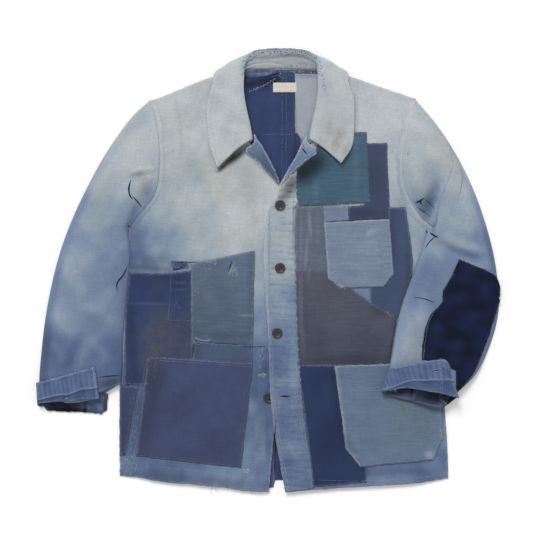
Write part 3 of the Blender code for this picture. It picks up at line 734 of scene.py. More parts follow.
def flat_piece(name, node, top, thick, look, seed, line=None, nodes=None, spacing=FINE, rough=0.3,
               turned=0.3, turned_width=5.0, pucker=0.2, pucker_width=5.0, settle=0.35, corner=34.0,
               more=none, fade=half_faded, stain=none, shade=none, rub=none, crest=none):
    """Cloth cut to an outline and laid on a height function, with its turned edge.
    line: the outline, or that of the CAD node; turned: rise of its turned edge; pucker: of the waves
    beside it; settle: how far its rim lies lower; corner: least angle of a corner, in degrees;
    more: extra height; fade to crest: what the material reads from the mesh."""
    line = [Vector(p) for p in line] if line else outline_of(node)
    if signed_area(line) < 0.0:
        line.reverse()
    line = resample(line, min(spacing, 4.0), corner=corner)
    line = roughened(line, rough, seed)
    OUTLINES[name] = line
    points, faces = cut(line, spacing, seed)
    x, y = points.T
    distance, along = to_line(line, x, y)
    z = top(x, y) + more(x, y)
    z = z + turned * smooth(distance / 1.5) * (1.0 - smooth((distance - turned_width) / 2.5))
    waves = np.sin(along * math.tau / 10.5 + 2.0 * np.sin(along / 23.0 + seed))
    waves = waves + 0.6 * np.sin(along * math.tau / 17.0 + seed)
    z = z + pucker * waves * bell(distance - 3.0, pucker_width)
    z = z - settle * (1.0 - smooth(distance / 2.0))
    nodes = [node] if nodes is None else nodes
    made = add_object(name, np.c_[x, y, z], faces, CLOTHS[look], nodes, thick)
    fields = (("fade", fade), ("stain", stain), ("shade", shade), ("rub", rub), ("crest", crest))
    for field, values in fields:
        set_field(made.data, field, values(x, y))
    set_field(made.data, "edge", distance)
    SURFACES.append(made)


def raised(top, rise):
    return lambda x, y: top(x, y) + rise


def beside_armhole(armhole, side, x, y):
    """A soft shade on the body along an armhole seam, deeper towards the armpit."""
    near = side * (armhole[0][0] - x) < 60.0
    shade = np.zeros_like(x)
    distance, _ = to_line([Vector(p) for p in armhole], x[near], y[near], closed=False)
    depth = mix(0.42, 0.16, smooth((y[near] - 120.0) / 80.0))
    shade[near] = depth * bell(distance - 2.6, 1.9)
    return shade


# x, and how far the hem hangs below the cut there, or above it where less than 0, for each panel
HEM_DROPS = {
    "front_right": (
        (-251, 1.0), (-218, 1.5), (-190, 5.0), (-159, 6.0), (-132, 4.6), (-104, 5.2), (-76, 2.8), (0, 2.6),
    ),
    "front_left": (
        (30, 3.2), (78, 5.6), (110, 7.0), (135, 8.0), (167, 8.6), (209, 9.4), (258, 8.2), (277, 6.6),
        (308, 3.4),
    ),
    "back": ((-10, 0.0), (2, -8.0), (30, -8.0), (44, 0.0)),
}
HEM_TOP = -330.0                 # what lies lower than this belongs to the hem
SIDE_SPREAD = 2.2                # how far the right side spreads beside its lowest patch
SIDE_SPREAD_FROM = (-236.0, -190.0)     # x and y from which outwards and downwards it does


def hung(node):
    """A panel's outline, with its hem where its weight has drawn it."""
    places, drops = zip(*HEM_DROPS[node])
    line = []
    for point in resample(outline_of(node), 12.0):
        low = 1.0 if point.y < HEM_TOP else 0.0
        out = SIDE_SPREAD if point.x < SIDE_SPREAD_FROM[0] and point.y < SIDE_SPREAD_FROM[1] else 0.0
        line.append(Vector((point.x - out, point.y - low * float(np.interp(point.x, places, drops)))))
    return line


# Soft spots: x, y; half width; half height; turn; strength
RIGHT_STAINS = (
    (-60, 150, 60, 40, 20, 0.25), (-120, 170, 40, 30, 0, 0.2), (-150, 255, 40, 25, 10, 0.2),
    (-80, 60, 50, 20, -10, 0.2), (-30, 100, 14, 60, 0, 0.22),
)
# RIGHT_SHADES and LEFT_SHADES are painted shade: under the collar's tip and the lapel, in folds and at the
# armpits, with some darker tone
RIGHT_SHADES = (
    (-235, -10, 14, 60, 5, 0.15), (-220, 60, 18, 20, 0, 0.12), (-56, 192, 32, 7.5, 38, 0.95),
    (-30, 212, 8, 5, 30, 0.04), (-80, 172, 10, 3, 38, 0.4), (-148, 6, 16, 5, -6, 0.75),
    (-9, 171, 34, 2.4, -44, 0.32), (-2, -260, 4, 120, 2, 0.16), (-18, -250, 12, 60, 0, 0.12),
    (-190, 14, 36, 13, -5, 0.26), (-200, 2, 60, 5, -6, 0.3), (-104, -360, 120, 8, -5, 0.22),
    (-224, -255, 15, 84, -9, 0.22), (-150, 240, 4, 40, 6, 0.1), (-172, 196, 14, 4, 30, 0.12),
)
LEFT_SHADES = (
    (230, 70, 12, 60, 0, 0.2), (120, 205, 30, 20, -30, 0.2), (236, -60, 12, 80, 0, 0.22),
    (292, -240, 8, 90, 2, 0.2), (190, -346, 110, 8, 2, 0.2), (3, 60, 3, 90, 0, 0.2),
    (150, 272, 5, 40, 0, 0.14),
)


def build_body():
    flat_piece(
        "back_cloth", "back", back_top, CLOTH, "inner_blue", 1, line=hung("back"),
        spacing=COARSE, rough=0.2, turned=0.0, pucker=0.0, settle=0.0, fade=varied(0.5, 0.25, 60.0, 5),
    )
    flat_piece(
        "front_right_cloth", "front_right", right_top, CLOTH, "body", 2,
        line=hung("front_right"), rough=0.35, turned=0.2, pucker=0.15, settle=0.0, fade=body_fade(RIGHT_FADE),
        crest=right_drape, stain=blotches(RIGHT_STAINS),
        shade=lambda x, y: blobs(RIGHT_SHADES, x, y) + beside_armhole(ARMHOLE_RIGHT, -1, x, y),
    )
    flat_piece(
        "front_left_cloth", "front_left", left_top, CLOTH, "body", 3,
        line=hung("front_left"), rough=0.35, turned=0.2, pucker=0.15, settle=0.0, fade=body_fade(LEFT_FADE),
        crest=left_drape,
        shade=lambda x, y: blobs(LEFT_SHADES, x, y) + beside_armhole(ARMHOLE_LEFT, 1, x, y),
    )


SIDE_STAINS = (
    (-184, -126, 34, 52, 0, 0.9), (-136, -116, 22, 56, 0, 0.42), (-200, -170, 18, 30, 0, 0.5),
    (-190, -24, 26, 14, 0, 0.2),
)
HIP_STAINS = ((-196, -160, 16, 30, 0, 0.4),)
POCKET_STAINS = (
    (230, -234, 4, 10, 10, 0.9), (226, -270, 3, 7, 0, 0.9), (240, -236, 3, 4, 0, 0.7),
    (250, -250, 60, 50, 0, 0.25), (235, -205, 26, 12, 0, 0.3),
)
FLAT_PATCHES = (
    # name, look, slot, left, level, lift, fade at the top and bottom, stains, roughness, pucker
    ("patch_right_side", "side", "dark_cotton", False, 1, 0.0, 0.35, 0.5, SIDE_STAINS, 0.45, 0.25),
    ("patch_right_strip", "strip", "dark_cotton", False, 1, 0.1, 0.5, 0.5, (), 0.4, 0.2),
    ("patch_right_breast", "breast", "mid_cotton", False, 1, 0.5, 0.7, 0.3, (), 0.5, 0.35),
    ("patch_right_hip", "hip", "plum_cotton", False, 1, 0.5, 0.42, 0.3, HIP_STAINS, 0.4, 0.25),
    ("patch_right_hem", "hip", "plum_cotton", False, 1, 0.1, 0.3, 0.2, (), 0.4, 0.25),
    ("patch_left_plum", "plum", "plum_cotton", True, 1, 0.0, 0.6, 0.35, (), 0.4, 0.25),
    ("patch_left_teal", "teal", "teal_cotton", True, 1, 1.1, 0.5, 0.5, (), 0.35, 0.2),
    ("patch_left_side", "mid", "mid_cotton", True, 1, 0.0, 0.55, 0.4, (), 0.4, 0.25),
    ("patch_left_grey", "grey", "grey_cotton", True, 1, 0.1, 0.5, 0.4, (), 0.3, 0.2),
    ("patch_left_tab", "tab", "light_denim", True, 1, 0.2, 0.5, 0.5, (), 0.3, 0.2),
    ("patch_left_navy", "navy", "dark_cotton", True, 1, 0.0, 0.45, 0.3, (), 0.4, 0.2),
    ("patch_left_brown", "brown", "brown_cotton", True, 1, 0.3, 0.85, 0.15, (), 0.35, 0.25),
    ("chest_pocket", "chest", "light_denim", True, 2, 0.2, 0.55, 0.45, (), 0.35, 0.35),
    ("hip_pocket", "pocket", "pocket_cotton", True, 2, 0.2, 0.4, 0.5, POCKET_STAINS, 0.4, 0.5),
)
# x, y of the corners of the placket and of the patches, which overlap a little at their edges
PATCH_LINES = {
    "patch_right_side": (
        (-237, -5.5), (-163, -5.5), (-129, -1), (-128.5, -156), (-205, -156), (-213, -197), (-246, -197),
        (-243, -69),
    ),
    "patch_right_strip": ((-128, -118), (-26, -120), (-27, -162), (-128, -157)),
    "patch_right_breast": ((-131.5, 9), (-22.5, 32.5), (-26, -127.5), (-130, -122.5)),
    "patch_right_hip": ((-204, -148.5), (-131, -152), (-25.5, -158.5), (-46, -338), (-224.5, -318)),
    "patch_left_teal": (
        (167.5, 234), (173.5, 114), (51.5, 107.5), (47, 150.5), (50, 172), (70, 190), (84, 212), (92, 234),
    ),
    "patch_left_plum": ((163, 215), (202.5, 215), (207.5, 87.5), (136, 82), (136, 107), (163, 110)),
    "patch_left_tab": ((94, 107.5), (137, 110.5), (137.5, 83), (94.5, 80)),
    "patch_left_grey": ((46.5, 107), (96, 108.5), (102, -3), (46.5, -3)),
    "patch_left_side": (
        (204, 106), (234.5, 106), (245.5, -6), (220, -83), (174, -60), (172, -4), (204, -4),
    ),
    "patch_left_brown": ((45.5, 0.5), (112, 0.5), (144.5, -34.5), (219, -83), (206.5, -161), (49, -165)),
    "patch_left_navy": (
        (48, -162), (122, -162), (139, -303), (162, -333), (168, -334), (168, -363), (76, -371), (62, -250),
    ),
    "patch_right_hem": (
        (-252.5, -198), (-221, -199), (-231.5, -243), (-235.5, -267), (-240.5, -298), (-242.5, -317),
        (-253.3, -318),
    ),
    "placket": (
        (20.5, 140), (14, 120), (3.5, 101), (2.5, -4), (2, -126.5), (8, -244), (30, -378), (77.5, -372.5),
        (72, -324), (63, -269), (57.5, -213), (54.5, -158), (51.5, -105), (49.5, -49), (48, -1), (45, 61),
        (44.5, 104), (51, 112), (50, 160), (33.5, 167),
    ),
}
# Shade beneath the collar's lifted tips, and in the folds of the patches
PATCH_SHADES = {
    "patch_left_teal": (
        (68, 174, 38, 23, 34, 0.82), (98, 206, 14, 12, 20, 0.14), (60, 150, 12, 20, 0, 0.1),
    ),
    "patch_left_plum": ((186, 150, 16, 40, 0, 0.12), (160, 96, 24, 8, 0, 0.2)),
    "patch_left_side": ((212, 60, 6, 50, 0, 0.2), (238, 0, 6, 50, 0, 0.2)),
    "patch_left_brown": (
        (60, -90, 8, 70, 0, 0.15), (130, -154, 70, 8, 0, 0.22), (190, -70, 20, 12, -40, 0.25),
        (92, -32, 26, 26, 0, 0.14), (222, -60, 10, 50, 0, 0.22),
    ),
    "patch_left_navy": (
        (120, -240, 8, 90, 8, 0.25), (100, -180, 20, 10, 0, 0.15), (105, -290, 26, 40, 0, 0.2),
    ),
    "hip_pocket": ((138, -300, 8, 34, 30, 0.2), (240, -330, 60, 7, 3, 0.2)),
    "patch_right_side": (
        (-184, -52, 16, 14, 0, 0.14), (-160, -18, 12, 12, 0, 0.14), (-232, -120, 10, 70, 2, 0.3),
        (-200, -18, 34, 20, 0, 0.2), (-146, -20, 14, 30, 0, 0.16), (-210, -186, 30, 14, 0, 0.2),
    ),
    "patch_right_hem": ((-244, -260, 12, 60, 0, 0.12),),
    "patch_right_strip": ((-120, -140, 8, 24, 0, 0.2), (-70, -158, 60, 6, 0, 0.15)),
    "patch_right_hip": (
        (-186, -188, 20, 24, 0, 0.16), (-34, -260, 6, 80, -4, 0.2), (-204, -240, 20, 90, -8, 0.24),
        (-150, -230, 30, 30, 30, 0.14), (-90, -300, 40, 30, 20, 0.1),
    ),
    "patch_right_breast": (
        (-30, -40, 6, 70, 0, 0.15), (-70, -112, 50, 8, 0, 0.18), (-118, -66, 14, 56, 0, 0.15),
    ),
}
# Where the patches are rubbed pale
PATCH_RUBS = {
    "patch_left_grey": (
        (71, 78, 3.0, 26, 4, 0.24), (65, 26, 3.0, 30, -3, 0.22), (56, 50, 3, 50, 0, 0.12),
        (84, 70, 3, 34, 0, 0.08),
    ),
    "patch_left_brown": (
        (56, -60, 4, 56, 0, 0.14), (69, -10, 2.4, 12, -8, 0.12), (60, -120, 4, 30, 0, 0.08),
    ),
    "patch_left_teal": ((82, 136, 5, 20, 0, 0.07), (150, 170, 5, 50, 0, 0.05)),
    "chest_pocket": ((176, 64, 12, 6, 40, 0.3), (150, 32, 26, 3, 0, 0.16), (130, 10, 34, 3, 3, 0.14)),
    "patch_right_side": (
        (-204, -58, 40, 2.6, 0, 0.06), (-150, -22, 12, 2, -4, 0.1), (-150, -34, 12, 2, 4, 0.08),
    ),
    "patch_right_breast": (
        (-60, -2, 8, 4, 30, 0.3), (-100, 14, 8, 3, -20, 0.25), (-36, -78, 14, 2.4, 0, 0.25),
    ),
    "hip_pocket": (
        (120, -190, 4, 30, 6, 0.2), (128, -260, 4, 50, 6, 0.2), (146, -318, 14, 5, -52, 0.25),
        (276, -316, 9, 8, 0, 0.4),
    ),
}


def patch(name, look, slot, left, level, lift, fade_top, fade_bottom, stains, rough, pucker, seed):
    front = left_top if left else right_top
    rise = GAP + PATCH + (level - 1) * (PATCH + GAP) + lift
    low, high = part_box(name)
    bottom, height = low.y / MM, (high.y - low.y) / MM
    flat_piece(
        name + "_cloth", name, raised(front, rise), PATCH, look, seed,
        line=PATCH_LINES.get(name), rough=rough, turned=0.32, pucker=pucker, settle=0.45, corner=24.0,
        more=lambda x, y: 0.12 * (1.0 + wobble(x, y, 26.0, seed)),
        fade=lambda x, y: mix(fade_bottom, fade_top, (y - bottom) / height),
        stain=blotches(stains),
        shade=blotches(PATCH_SHADES.get(name, ())),
        rub=blotches(PATCH_RUBS.get(name, ())),
        crest=left_drape if left else right_drape,
    )


def build_patches():
    for seed, row in enumerate(FLAT_PATCHES, 20):
        patch(*row, seed)


# Painted shade under the left lapel's edge
PLACKET_SHADES = ((40, 142, 30, 13, 55, 0.68), (20, 116, 14, 7, 60, 0.2))
PLACKET_FADE = (
    (30, 150, 0.98), (25, 100, 0.85), (22, 60, 0.66), (25, 0, 0.55), (30, -50, 0.34), (28, -130, 0.08),
    (36, -250, 0.06), (50, -350, 0.06), (8, -200, 0.16), (16, -290, 0.16),
)
LAPEL_SHADES = ((6, 162, 9, 30, 45, 0.24),)


def placket_pucker(x, y):
    """Fine creases across the placket, drawn up by its rows of stitches."""
    wave = np.sin(y * math.tau / 10.5 + 2.2 * np.sin(y / 17.0) + 0.05 * x)
    return (0.5 + 0.5 * wave) ** 6 * (0.6 + 0.6 * wobble(x, y, 12.0, 44))


def build_facings():
    rise = GAP + PATCH
    flat_piece(
        "placket_cloth", "placket", raised(left_top, rise + 0.7), PATCH, "placket", 40,
        line=PATCH_LINES["placket"], rough=0.3, turned=0.25, pucker=0.42, pucker_width=9.0, settle=0.4,
        corner=24.0, more=lambda x, y: -0.35 * placket_pucker(x, y), fade=body_fade(PLACKET_FADE),
        crest=left_drape,
        # Painted shade in the puckers' creases and under the left lapel
        shade=lambda x, y: 0.24 * placket_pucker(x, y) + blobs(PLACKET_SHADES, x, y),
    )
    flat_piece(
        "lapel_right_cloth", "lapel_right", raised(right_top, rise), PATCH, "lapel", 41,
        rough=0.5, pucker=0.3, spacing=2.6, fade=lambda x, y: 0.02 + 0.36 * smooth((y - 180) / 40),
        shade=blotches(LAPEL_SHADES),
    )
    flat_piece(
        "lapel_left_cloth", "lapel_left", raised(left_top, rise + PATCH + GAP + 0.5), PATCH, "lapel",
        42, rough=0.5, pucker=0.3, spacing=2.6,
        fade=lambda x, y: 0.36 + 0.4 * smooth((y - 186) / 30),
    )


# Torn cloth at the neck and over the side patch
NECK_TEAR = ((-41, 339), (14, 342), (17, 336), (5, 331.5), (-12, 327.5), (-30, 327), (-41, 329))
TEAR_SHADES = (
    (-14, 338, 30, 2.4, 4, 0.5), (8, 333, 10, 3, 30, 0.5), (-36, 331, 6, 6, 0, 0.45),
    (-16, 328, 24, 2.4, -3, 0.45),
)
FRONT_FACING = (
    (4, -235), (19, -232), (15, -285), (11, -335), (12.5, -358), (9, -372), (-4, -374), (-4, -300),
)
FRONT_TEAR = ((-164, 13), (-137, 14), (-134.5, 2), (-148, 0.5), (-162, -1))
# Pale cloth that lines the neck's left side: x, y of its corners, and the shade on it
NECK_LINING = (
    (45.5, 334), (46, 300), (45.5, 260), (46, 233), (54, 226), (57, 214), (62, 206), (84, 222), (94, 262),
    (96, 300), (92, 333),
)
LINING_SHADES = (
    (44, 250, 5, 40, 0, 0.45), (60, 331, 30, 4, 0, 0.3), (52, 218, 10, 8, 0, 0.35),
    (80, 232, 10, 22, 20, 0.2),
)
# The patch inside the neck
INNER_CREASES = (
    (-30, 318, 6, 326, -3, 1.4, 4, 7), (-34, 300, 4, 322, -4, 1.2, 5, 6), (-30, 286, -4, 300, 3, 0.8, 4, 6),
    (0, 250, 10, 130, 3, 0.6, 8, 10),
)
INNER_SHADES = (
    (-12, 321, 36, 7, 14, 0.6), (-36, 306, 14, 16, 0, 0.3), (4, 318, 22, 5, 30, 0.5),
    (-40, 230, 12, 60, 0, 0.25), (20, 130, 26, 24, 0, 0.1),
)


def build_inside():
    first = GAP + PATCH
    flat_piece(
        "inner_patch_cloth", "inner_patch", raised(back_top, first), PATCH, "inner_blue", 50,
        rough=0.4, pucker=0.1, more=lambda x, y: creases(INNER_CREASES, x, y),
        fade=varied(0.45, 0.2, 40.0, 51), shade=blotches(INNER_SHADES),
    )
    flat_piece(
        "neck_lining_cloth", None, raised(back_top, first + 0.7), PATCH, "inner_pale", 53,
        line=NECK_LINING, nodes=[], rough=0.3, pucker=0.1,
        more=lambda x, y: 0.3 * (1.0 + wobble(x, y, 30.0, 54)),
        shade=blotches(LINING_SHADES),
    )
    flat_piece(
        "neck_tear_cloth", None, raised(back_top, first + 1.5), PATCH, "cuff_inner", 54,
        line=NECK_TEAR, nodes=[], rough=0.8, pucker=0.3, spacing=2.4,
        fade=varied(0.75, 0.25, 9.0, 55), shade=blotches(TEAR_SHADES),
    )
    flat_piece(
        "front_tear_cloth", None, raised(right_top, 0.8), PATCH, "side", 56,
        line=FRONT_TEAR, nodes=[], rough=0.5, pucker=0.3, spacing=2.4,
        fade=varied(0.75, 0.3, 8.0, 57),
    )
    flat_piece(
        "front_facing_cloth", None, raised(back_top, 1.0), PATCH, "hip", 58,
        line=FRONT_FACING, nodes=[], rough=0.4, pucker=0.2, spacing=2.6,
        fade=varied(0.95, 0.2, 20.0, 59),
    )
    flat_piece(
        "neck_label_cloth", "neck_label", raised(back_top, first + PATCH + 0.9), PATCH, "label",
        52, rough=0.12, pucker=0.0, turned=0.15, spacing=1.6,
    )


# Lofted pieces -----------------------------------------------------------------------------------


def curve(points, steps):
    """A smooth line through points, with the given number of steps in each span."""
    points = np.asarray(points, float)
    spans = np.maximum(np.linalg.norm(np.diff(points, axis=0), axis=1), 1e-6)[:, None]
    slopes = np.diff(points, axis=0) / spans
    tangents = np.empty_like(points)
    tangents[1:-1] = (slopes[:-1] * spans[1:] + slopes[1:] * spans[:-1]) / (spans[1:] + spans[:-1])
    tangents[0] = slopes[0]
    tangents[-1] = slopes[-1]
    line = []
    for i, count in enumerate(steps):
        t = (np.arange(count) / count)[:, None]
        line.append(hermite(points[i], points[i + 1], tangents[i] * spans[i], tangents[i + 1] * spans[i], t))
    line.append(points[-1:])
    return np.concatenate(line)


def steps_between(sections, spacing):
    """Steps between neighbouring sections, so that no point lies further than spacing from the next."""
    sections = np.asarray(sections, float)
    gaps = np.linalg.norm(np.diff(sections, axis=0), axis=-1).mean(axis=1)
    return [max(1, round(gap / spacing)) for gap in gaps]


def loft(sections, along_steps):
    """A grid of points, smooth from one section to the next."""
    sections = np.asarray(sections, float)
    columns = [curve(sections[:, j], along_steps) for j in range(sections.shape[1])]
    return np.stack(columns, axis=1)


def normals_of(grid):
    """Unit normals of a grid of points, all on the same side of it."""
    normal = np.cross(np.gradient(grid, axis=1), np.gradient(grid, axis=0))
    return normal / np.maximum(np.linalg.norm(normal, axis=-1, keepdims=True), 1e-9)


def lengths_along(grid, axis):
    """Distance from the grid's first row or column, in millimetres."""
    gaps = np.linalg.norm(np.diff(grid, axis=axis), axis=-1)
    start = np.zeros_like(np.take(gaps, [0], axis=axis))
    return np.concatenate([start, np.cumsum(gaps, axis=axis)], axis=axis)


def grid_faces(rows, columns, closed):
    faces = []
    for i in range(rows - 1):
        for j in range(columns if closed else columns - 1):
            k = (j + 1) % columns
            faces.append((i * columns + j, (i + 1) * columns + j, (i + 1) * columns + k, i * columns + k))
    return faces


def lofted_piece(name, grid, look, nodes, thick, offset, fields, closed=False):
    """A piece of cloth from a grid of points in millimetres."""
    rows, columns = grid.shape[:2]
    grid = np.array(grid)
    grid[..., 2] = np.maximum(grid[..., 2], (0.5 + 0.5 * max(offset, 0.0)) * thick + LEAST_CLEARANCE)
    faces = grid_faces(rows, columns, closed)
    made = add_object(name, grid.reshape(-1, 3), faces, CLOTHS[look], nodes, thick, offset)
    for field, values in fields.items():
        set_field(made.data, field, np.broadcast_to(values, (rows, columns)).ravel())
    SURFACES.append(made)


# Half the collar, from its front end to the middle of the back, as in the CAD model: where it is
# sewn on, its fold, the knee where the leaf comes down, its outer edge, and how open the fold is
COLLAR_HALF = (
    # seam_x, seam_y, fold_x, fold_y, fold_z, knee_x, knee_y, knee_z, edge_x, edge_y, edge_z,
    # on_front, spread
    (-30.0, 216.0, -26.5, 222.0, 3.8, -54.5, 203.0, 5.2, -85.5, 172.5, 10.0, 1, 1.8),
    (-35.5, 234.0, -30.5, 245.5, 4.0, -59.5, 232.0, 4.4, -98.0, 208.0, 4.0, 1, 1.8),
    (-42.5, 268.0, -37.0, 274.5, 4.4, -66.5, 268.0, 4.2, -103.0, 247.5, 1.6, 1, 1.8),
    (-49.5, 296.5, -41.5, 305.0, 5.4, -69.5, 302.0, 4.8, -102.0, 288.0, 1.8, 1, 1.8),
    (-51.0, 322.0, -41.0, 329.0, 7.2, -63.0, 333.0, 6.2, -93.5, 317.0, 3.0, 1, 1.6),
    (-46.5, 335.5, -38.0, 351.0, 12.8, -62.0, 353.0, 7.5, -90.0, 336.5, 4.2, 0, 1.0),
    (-38.0, 338.5, -34.0, 360.5, 13.6, -54.5, 359.5, 1.4, -83.0, 339.5, 0.9, 0, 0.4),
    (-24.0, 339.5, -25.5, 370.0, 14.4, -37.5, 364.5, 1.4, -54.5, 296.5, 0.9, 0, 0.0),
    (-3.5, 340.0, -3.5, 374.5, 15.0, -3.5, 370.5, 1.4, -13.5, 286.5, 0.9, 0, 0.0),
    (22.0, 340.0, 22.0, 375.5, 15.0, 22.0, 371.5, 1.4, 22.0, 285.0, 0.9, 0, 0.0),
)
LEFT_TIP = (5.5, 7.5)  # the left leaf's tip lies this much further in and up than the right one's
COLLAR_TURN = 3.0      # from the fold to the points that round it
COLLAR_STEPS = (14, 3, 3, 12, 9, 11)    # across each span: stand, two sides of the fold, fall
# Rolls of the stand at the back of the neck: share of the way up, which way each wanders, height, width
NECK_ROLLS = (
    (0.72, 1, 1.0, 0.12), (0.58, 1, -0.8, 0.05), (0.46, 1, 1.5, 0.07), (0.33, -1, -1.6, 0.035),
    (0.22, -1, 1.2, 0.06), (0.1, 0, -1.2, 0.04),
)
LEAF_CREASES = (
    (-88, 214, -64, 270, -4, 0.5, 8, 12),
    (-70, 190, -50, 226, 3, 0.4, 7, 9),
    (124, 186, 106, 238, 5, 0.55, 6, 10),
    (140, 206, 112, 214, -4, 0.4, 6, 8),
    (118, 252, 132, 300, 4, 0.4, 8, 10),
)
LEAF_SHADES = ((56, 364, 22, 12, -20, 0.14), (108, 232, 30, 70, -8, 0.1), (20, 364, 40, 4, 0, 0.14))
# Where the left leaf has worn through beside the fold, and how strongly that shows
WORN_LINE = ((86, 352), (93, 338), (96, 306))
LINE_FLECKS = 0.85
LEAF_STAINS = (
    (118, 218, 9, 26, -20, 0.55), (132, 200, 6, 20, -25, 0.5), (104, 244, 5, 16, 0, 0.3),
    (-80, 190, 14, 20, 0, 0.15), (150, 250, 8, 30, 0, 0.2),
)


def collar_section(row, side):
    (seam_x, seam_y, fold_x, fold_y, fold_z, knee_x, knee_y, knee_z,
     edge_x, edge_y, edge_z, on_front, spread) = row
    patch_rise = PATCH + GAP if side > 0 and on_front else 0.0
    top = left_top if side > 0 else right_top

    def place(x, y, z):
        if side > 0:
            x = 2 * NECK_X - x
        floor = float(top(np.array([x]), np.array([y]))[0]) + patch_rise if on_front else 0.0
        return np.array([x, y, floor + z])

    if on_front:
        seam = place(seam_x, seam_y, -CLOTH / 2 - patch_rise)
    elif seam_x < -42.0:
        seam = place(seam_x, seam_y, NECK_LIFT + CLOTH + GAP + COLLAR / 2)
    else:
        seam = place(seam_x, seam_y, NECK_LIFT + CLOTH / 2)
    fold = place(fold_x, fold_y, fold_z)
    knee = place(knee_x, knee_y, knee_z)
    if side > 0 and row == COLLAR_HALF[0]:
        edge_x += LEFT_TIP[0]
        edge_y += LEFT_TIP[1]
    edge = place(edge_x, edge_y, edge_z)
    opened = np.array([0.0, 0.0, spread])
    before = fold + (seam - fold) / np.linalg.norm(seam - fold) * COLLAR_TURN - opened
    after = fold + (knee - fold) / np.linalg.norm(knee - fold) * COLLAR_TURN + opened
    return [seam, before, fold, after, knee, (knee + edge) / 2, edge]


def build_collar():
    right = [collar_section(row, -1) for row in COLLAR_HALF]
    left = [collar_section(row, 1) for row in COLLAR_HALF]
    stations = right + left[-2::-1]
    sections = np.array([curve(station, COLLAR_STEPS) for station in stations])
    grid = loft(sections, steps_between(sections, 2.7))
    across = lengths_along(grid, 1)
    fold_at = across[:, sum(COLLAR_STEPS[:2])][:, None]
    to_edge = across[:, -1:] - across
    leaf_run = lengths_along(grid, 0)
    to_end = np.minimum(leaf_run, leaf_run[-1:] - leaf_run)
    x, y, _ = np.moveaxis(grid, -1, 0)
    on_leaf = smooth((across - fold_at) / 8.0)
    rim = np.minimum(to_edge, np.where(on_leaf > 0.3, to_end, 99.0))
    # Soft folds that run round the stand at the back of the neck
    share = across / np.maximum(fold_at, 1.0)
    back = smooth((y - 318.0) / 22.0) * (1.0 - smooth((share - 1.0) / 0.08))
    slow = 0.06 * wobble(x, y, 46.0, 61)
    rolls = sum(height * bell(share + drift * slow - at, width) for at, drift, height, width in NECK_ROLLS)
    lift = back * (rolls - 0.3) * (0.8 + 0.5 * wobble(x, y, 30.0, 62))
    # The leaves: a turned edge with its row of stitches, and slow unevenness
    lift = lift + on_leaf * (0.45 * wobble(x, y, 40.0, 63) + 0.12 * wobble(x, y, 12.0, 64))
    lift = lift + on_leaf * creases(LEAF_CREASES, x, y)
    lift = lift + on_leaf * 0.4 * smooth(rim / 1.5) * (1.0 - smooth((rim - 4.5) / 2.5))
    pucker = np.sin(leaf_run * math.tau / 9.0 + 2.0 * np.sin(leaf_run / 21.0))
    lift = lift + on_leaf * 0.16 * pucker * bell(rim - 5.0, 4.0)
    # The frayed fold
    at_fold = bell(across - fold_at + 6.0, 8.0) + 0.5 * bell(across - fold_at - 3.0, 4.0)
    frayed = at_fold * (0.15 + 0.85 * smooth((y - 318.0) / 26.0)) * smooth((y - 230.0) / 40.0)
    second = back * smooth((x - 10.0) / 30.0) * bell(share - slow - 0.22, 0.08)
    frayed = np.clip(frayed + 0.9 * second, 0.0, 1.0)
    off_line, _ = to_line([Vector(p) for p in WORN_LINE], x.ravel(), y.ravel(), closed=False)
    worn_line = on_leaf * bell(off_line.reshape(x.shape), 3.6)
    lift = lift + 0.35 * frayed * wobble(x, y, 6.0, 65)
    normal = normals_of(grid)
    if normal[len(grid) // 2, sum(COLLAR_STEPS[:2]), 2] < 0.0:
        normal = -normal
    grid = grid + normal * lift[..., None]
    low_in_stand = 0.36 * back * smooth((0.16 - share) / 0.12)
    # Painted shade in the hollows between the rolls of the stand
    hollow_shade = 0.5 * bell(share - 0.07, 0.06) + 0.3 * bell(share - slow - 0.33, 0.035)
    hollow_shade = hollow_shade + 0.22 * bell(share + slow - 0.58, 0.06)
    fields = {
        "fade": 0.93 + 0.05 * wobble(x, y, 50.0, 66) - low_in_stand - 0.2 * frayed,
        "stain": blobs(LEAF_STAINS, x, y) * on_leaf,
        "shade": back * hollow_shade + blobs(LEAF_SHADES, x, y),
        "rub": 0.12 * frayed,
        "fleck": np.clip(frayed + LINE_FLECKS * worn_line, 0.0, 1.0),
        "crest": on_leaf * 0.6 * wobble(x, y, 30.0, 67),
        "edge": np.where(on_leaf > 0.3, rim, 20.0),
    }
    lofted_piece(
        "collar_cloth", grid, "collar", ["collar"], COLLAR, 0.0, fields,
    )


# Sleeves and cuffs -------------------------------------------------------------------------------

SHOULDER_SWELL = (-228.0, 263.0)        # where the right sleeve's outer edge swells
SWELL_SIZE = 30.0      # over what distance
SWELL_BY = 3.2         # how far
SWELL_TOWARDS = (-0.73, 0.68, 0.0)
# Sections of the sleeves, from the armhole to the mouth: both edges; rise of the underside at each;
# thickness; how far the section bows towards the mouth; how far its underside reaches past its top
SLEEVE_RIGHT = (
    # outer_x, outer_y, inner_x, inner_y, rise_outer, rise_inner, thick, bow, reach
    (-253.5, 230.5, -238.5, 68.0, 0.0, 0.0, 11.0, -22.0, 0.0),
    (-309.5, 137.0, -236.5, 34.0, 0.0, 0.0, 14.0, -6.0, 0.0),
    (-350.0, 42.5, -238.5, -7.5, 0.0, 0.0, 16.0, 0.0, 0.0),
    (-374.0, -52.0, -244.5, -69.0, 0.0, 0.0, 16.0, 0.0, 0.0),
    (-386.5, -145.5, -248.5, -137.0, 0.0, 0.0, 15.0, 0.0, 0.0),
    (-389.0, -181.0, -249.5, -168.0, 2.6, 2.0, 13.5, 0.0, 0.0),
    (-389.5, -221.0, -252.0, -195.5, 2.6, 2.6, 12.0, 9.0, 9.0),
)
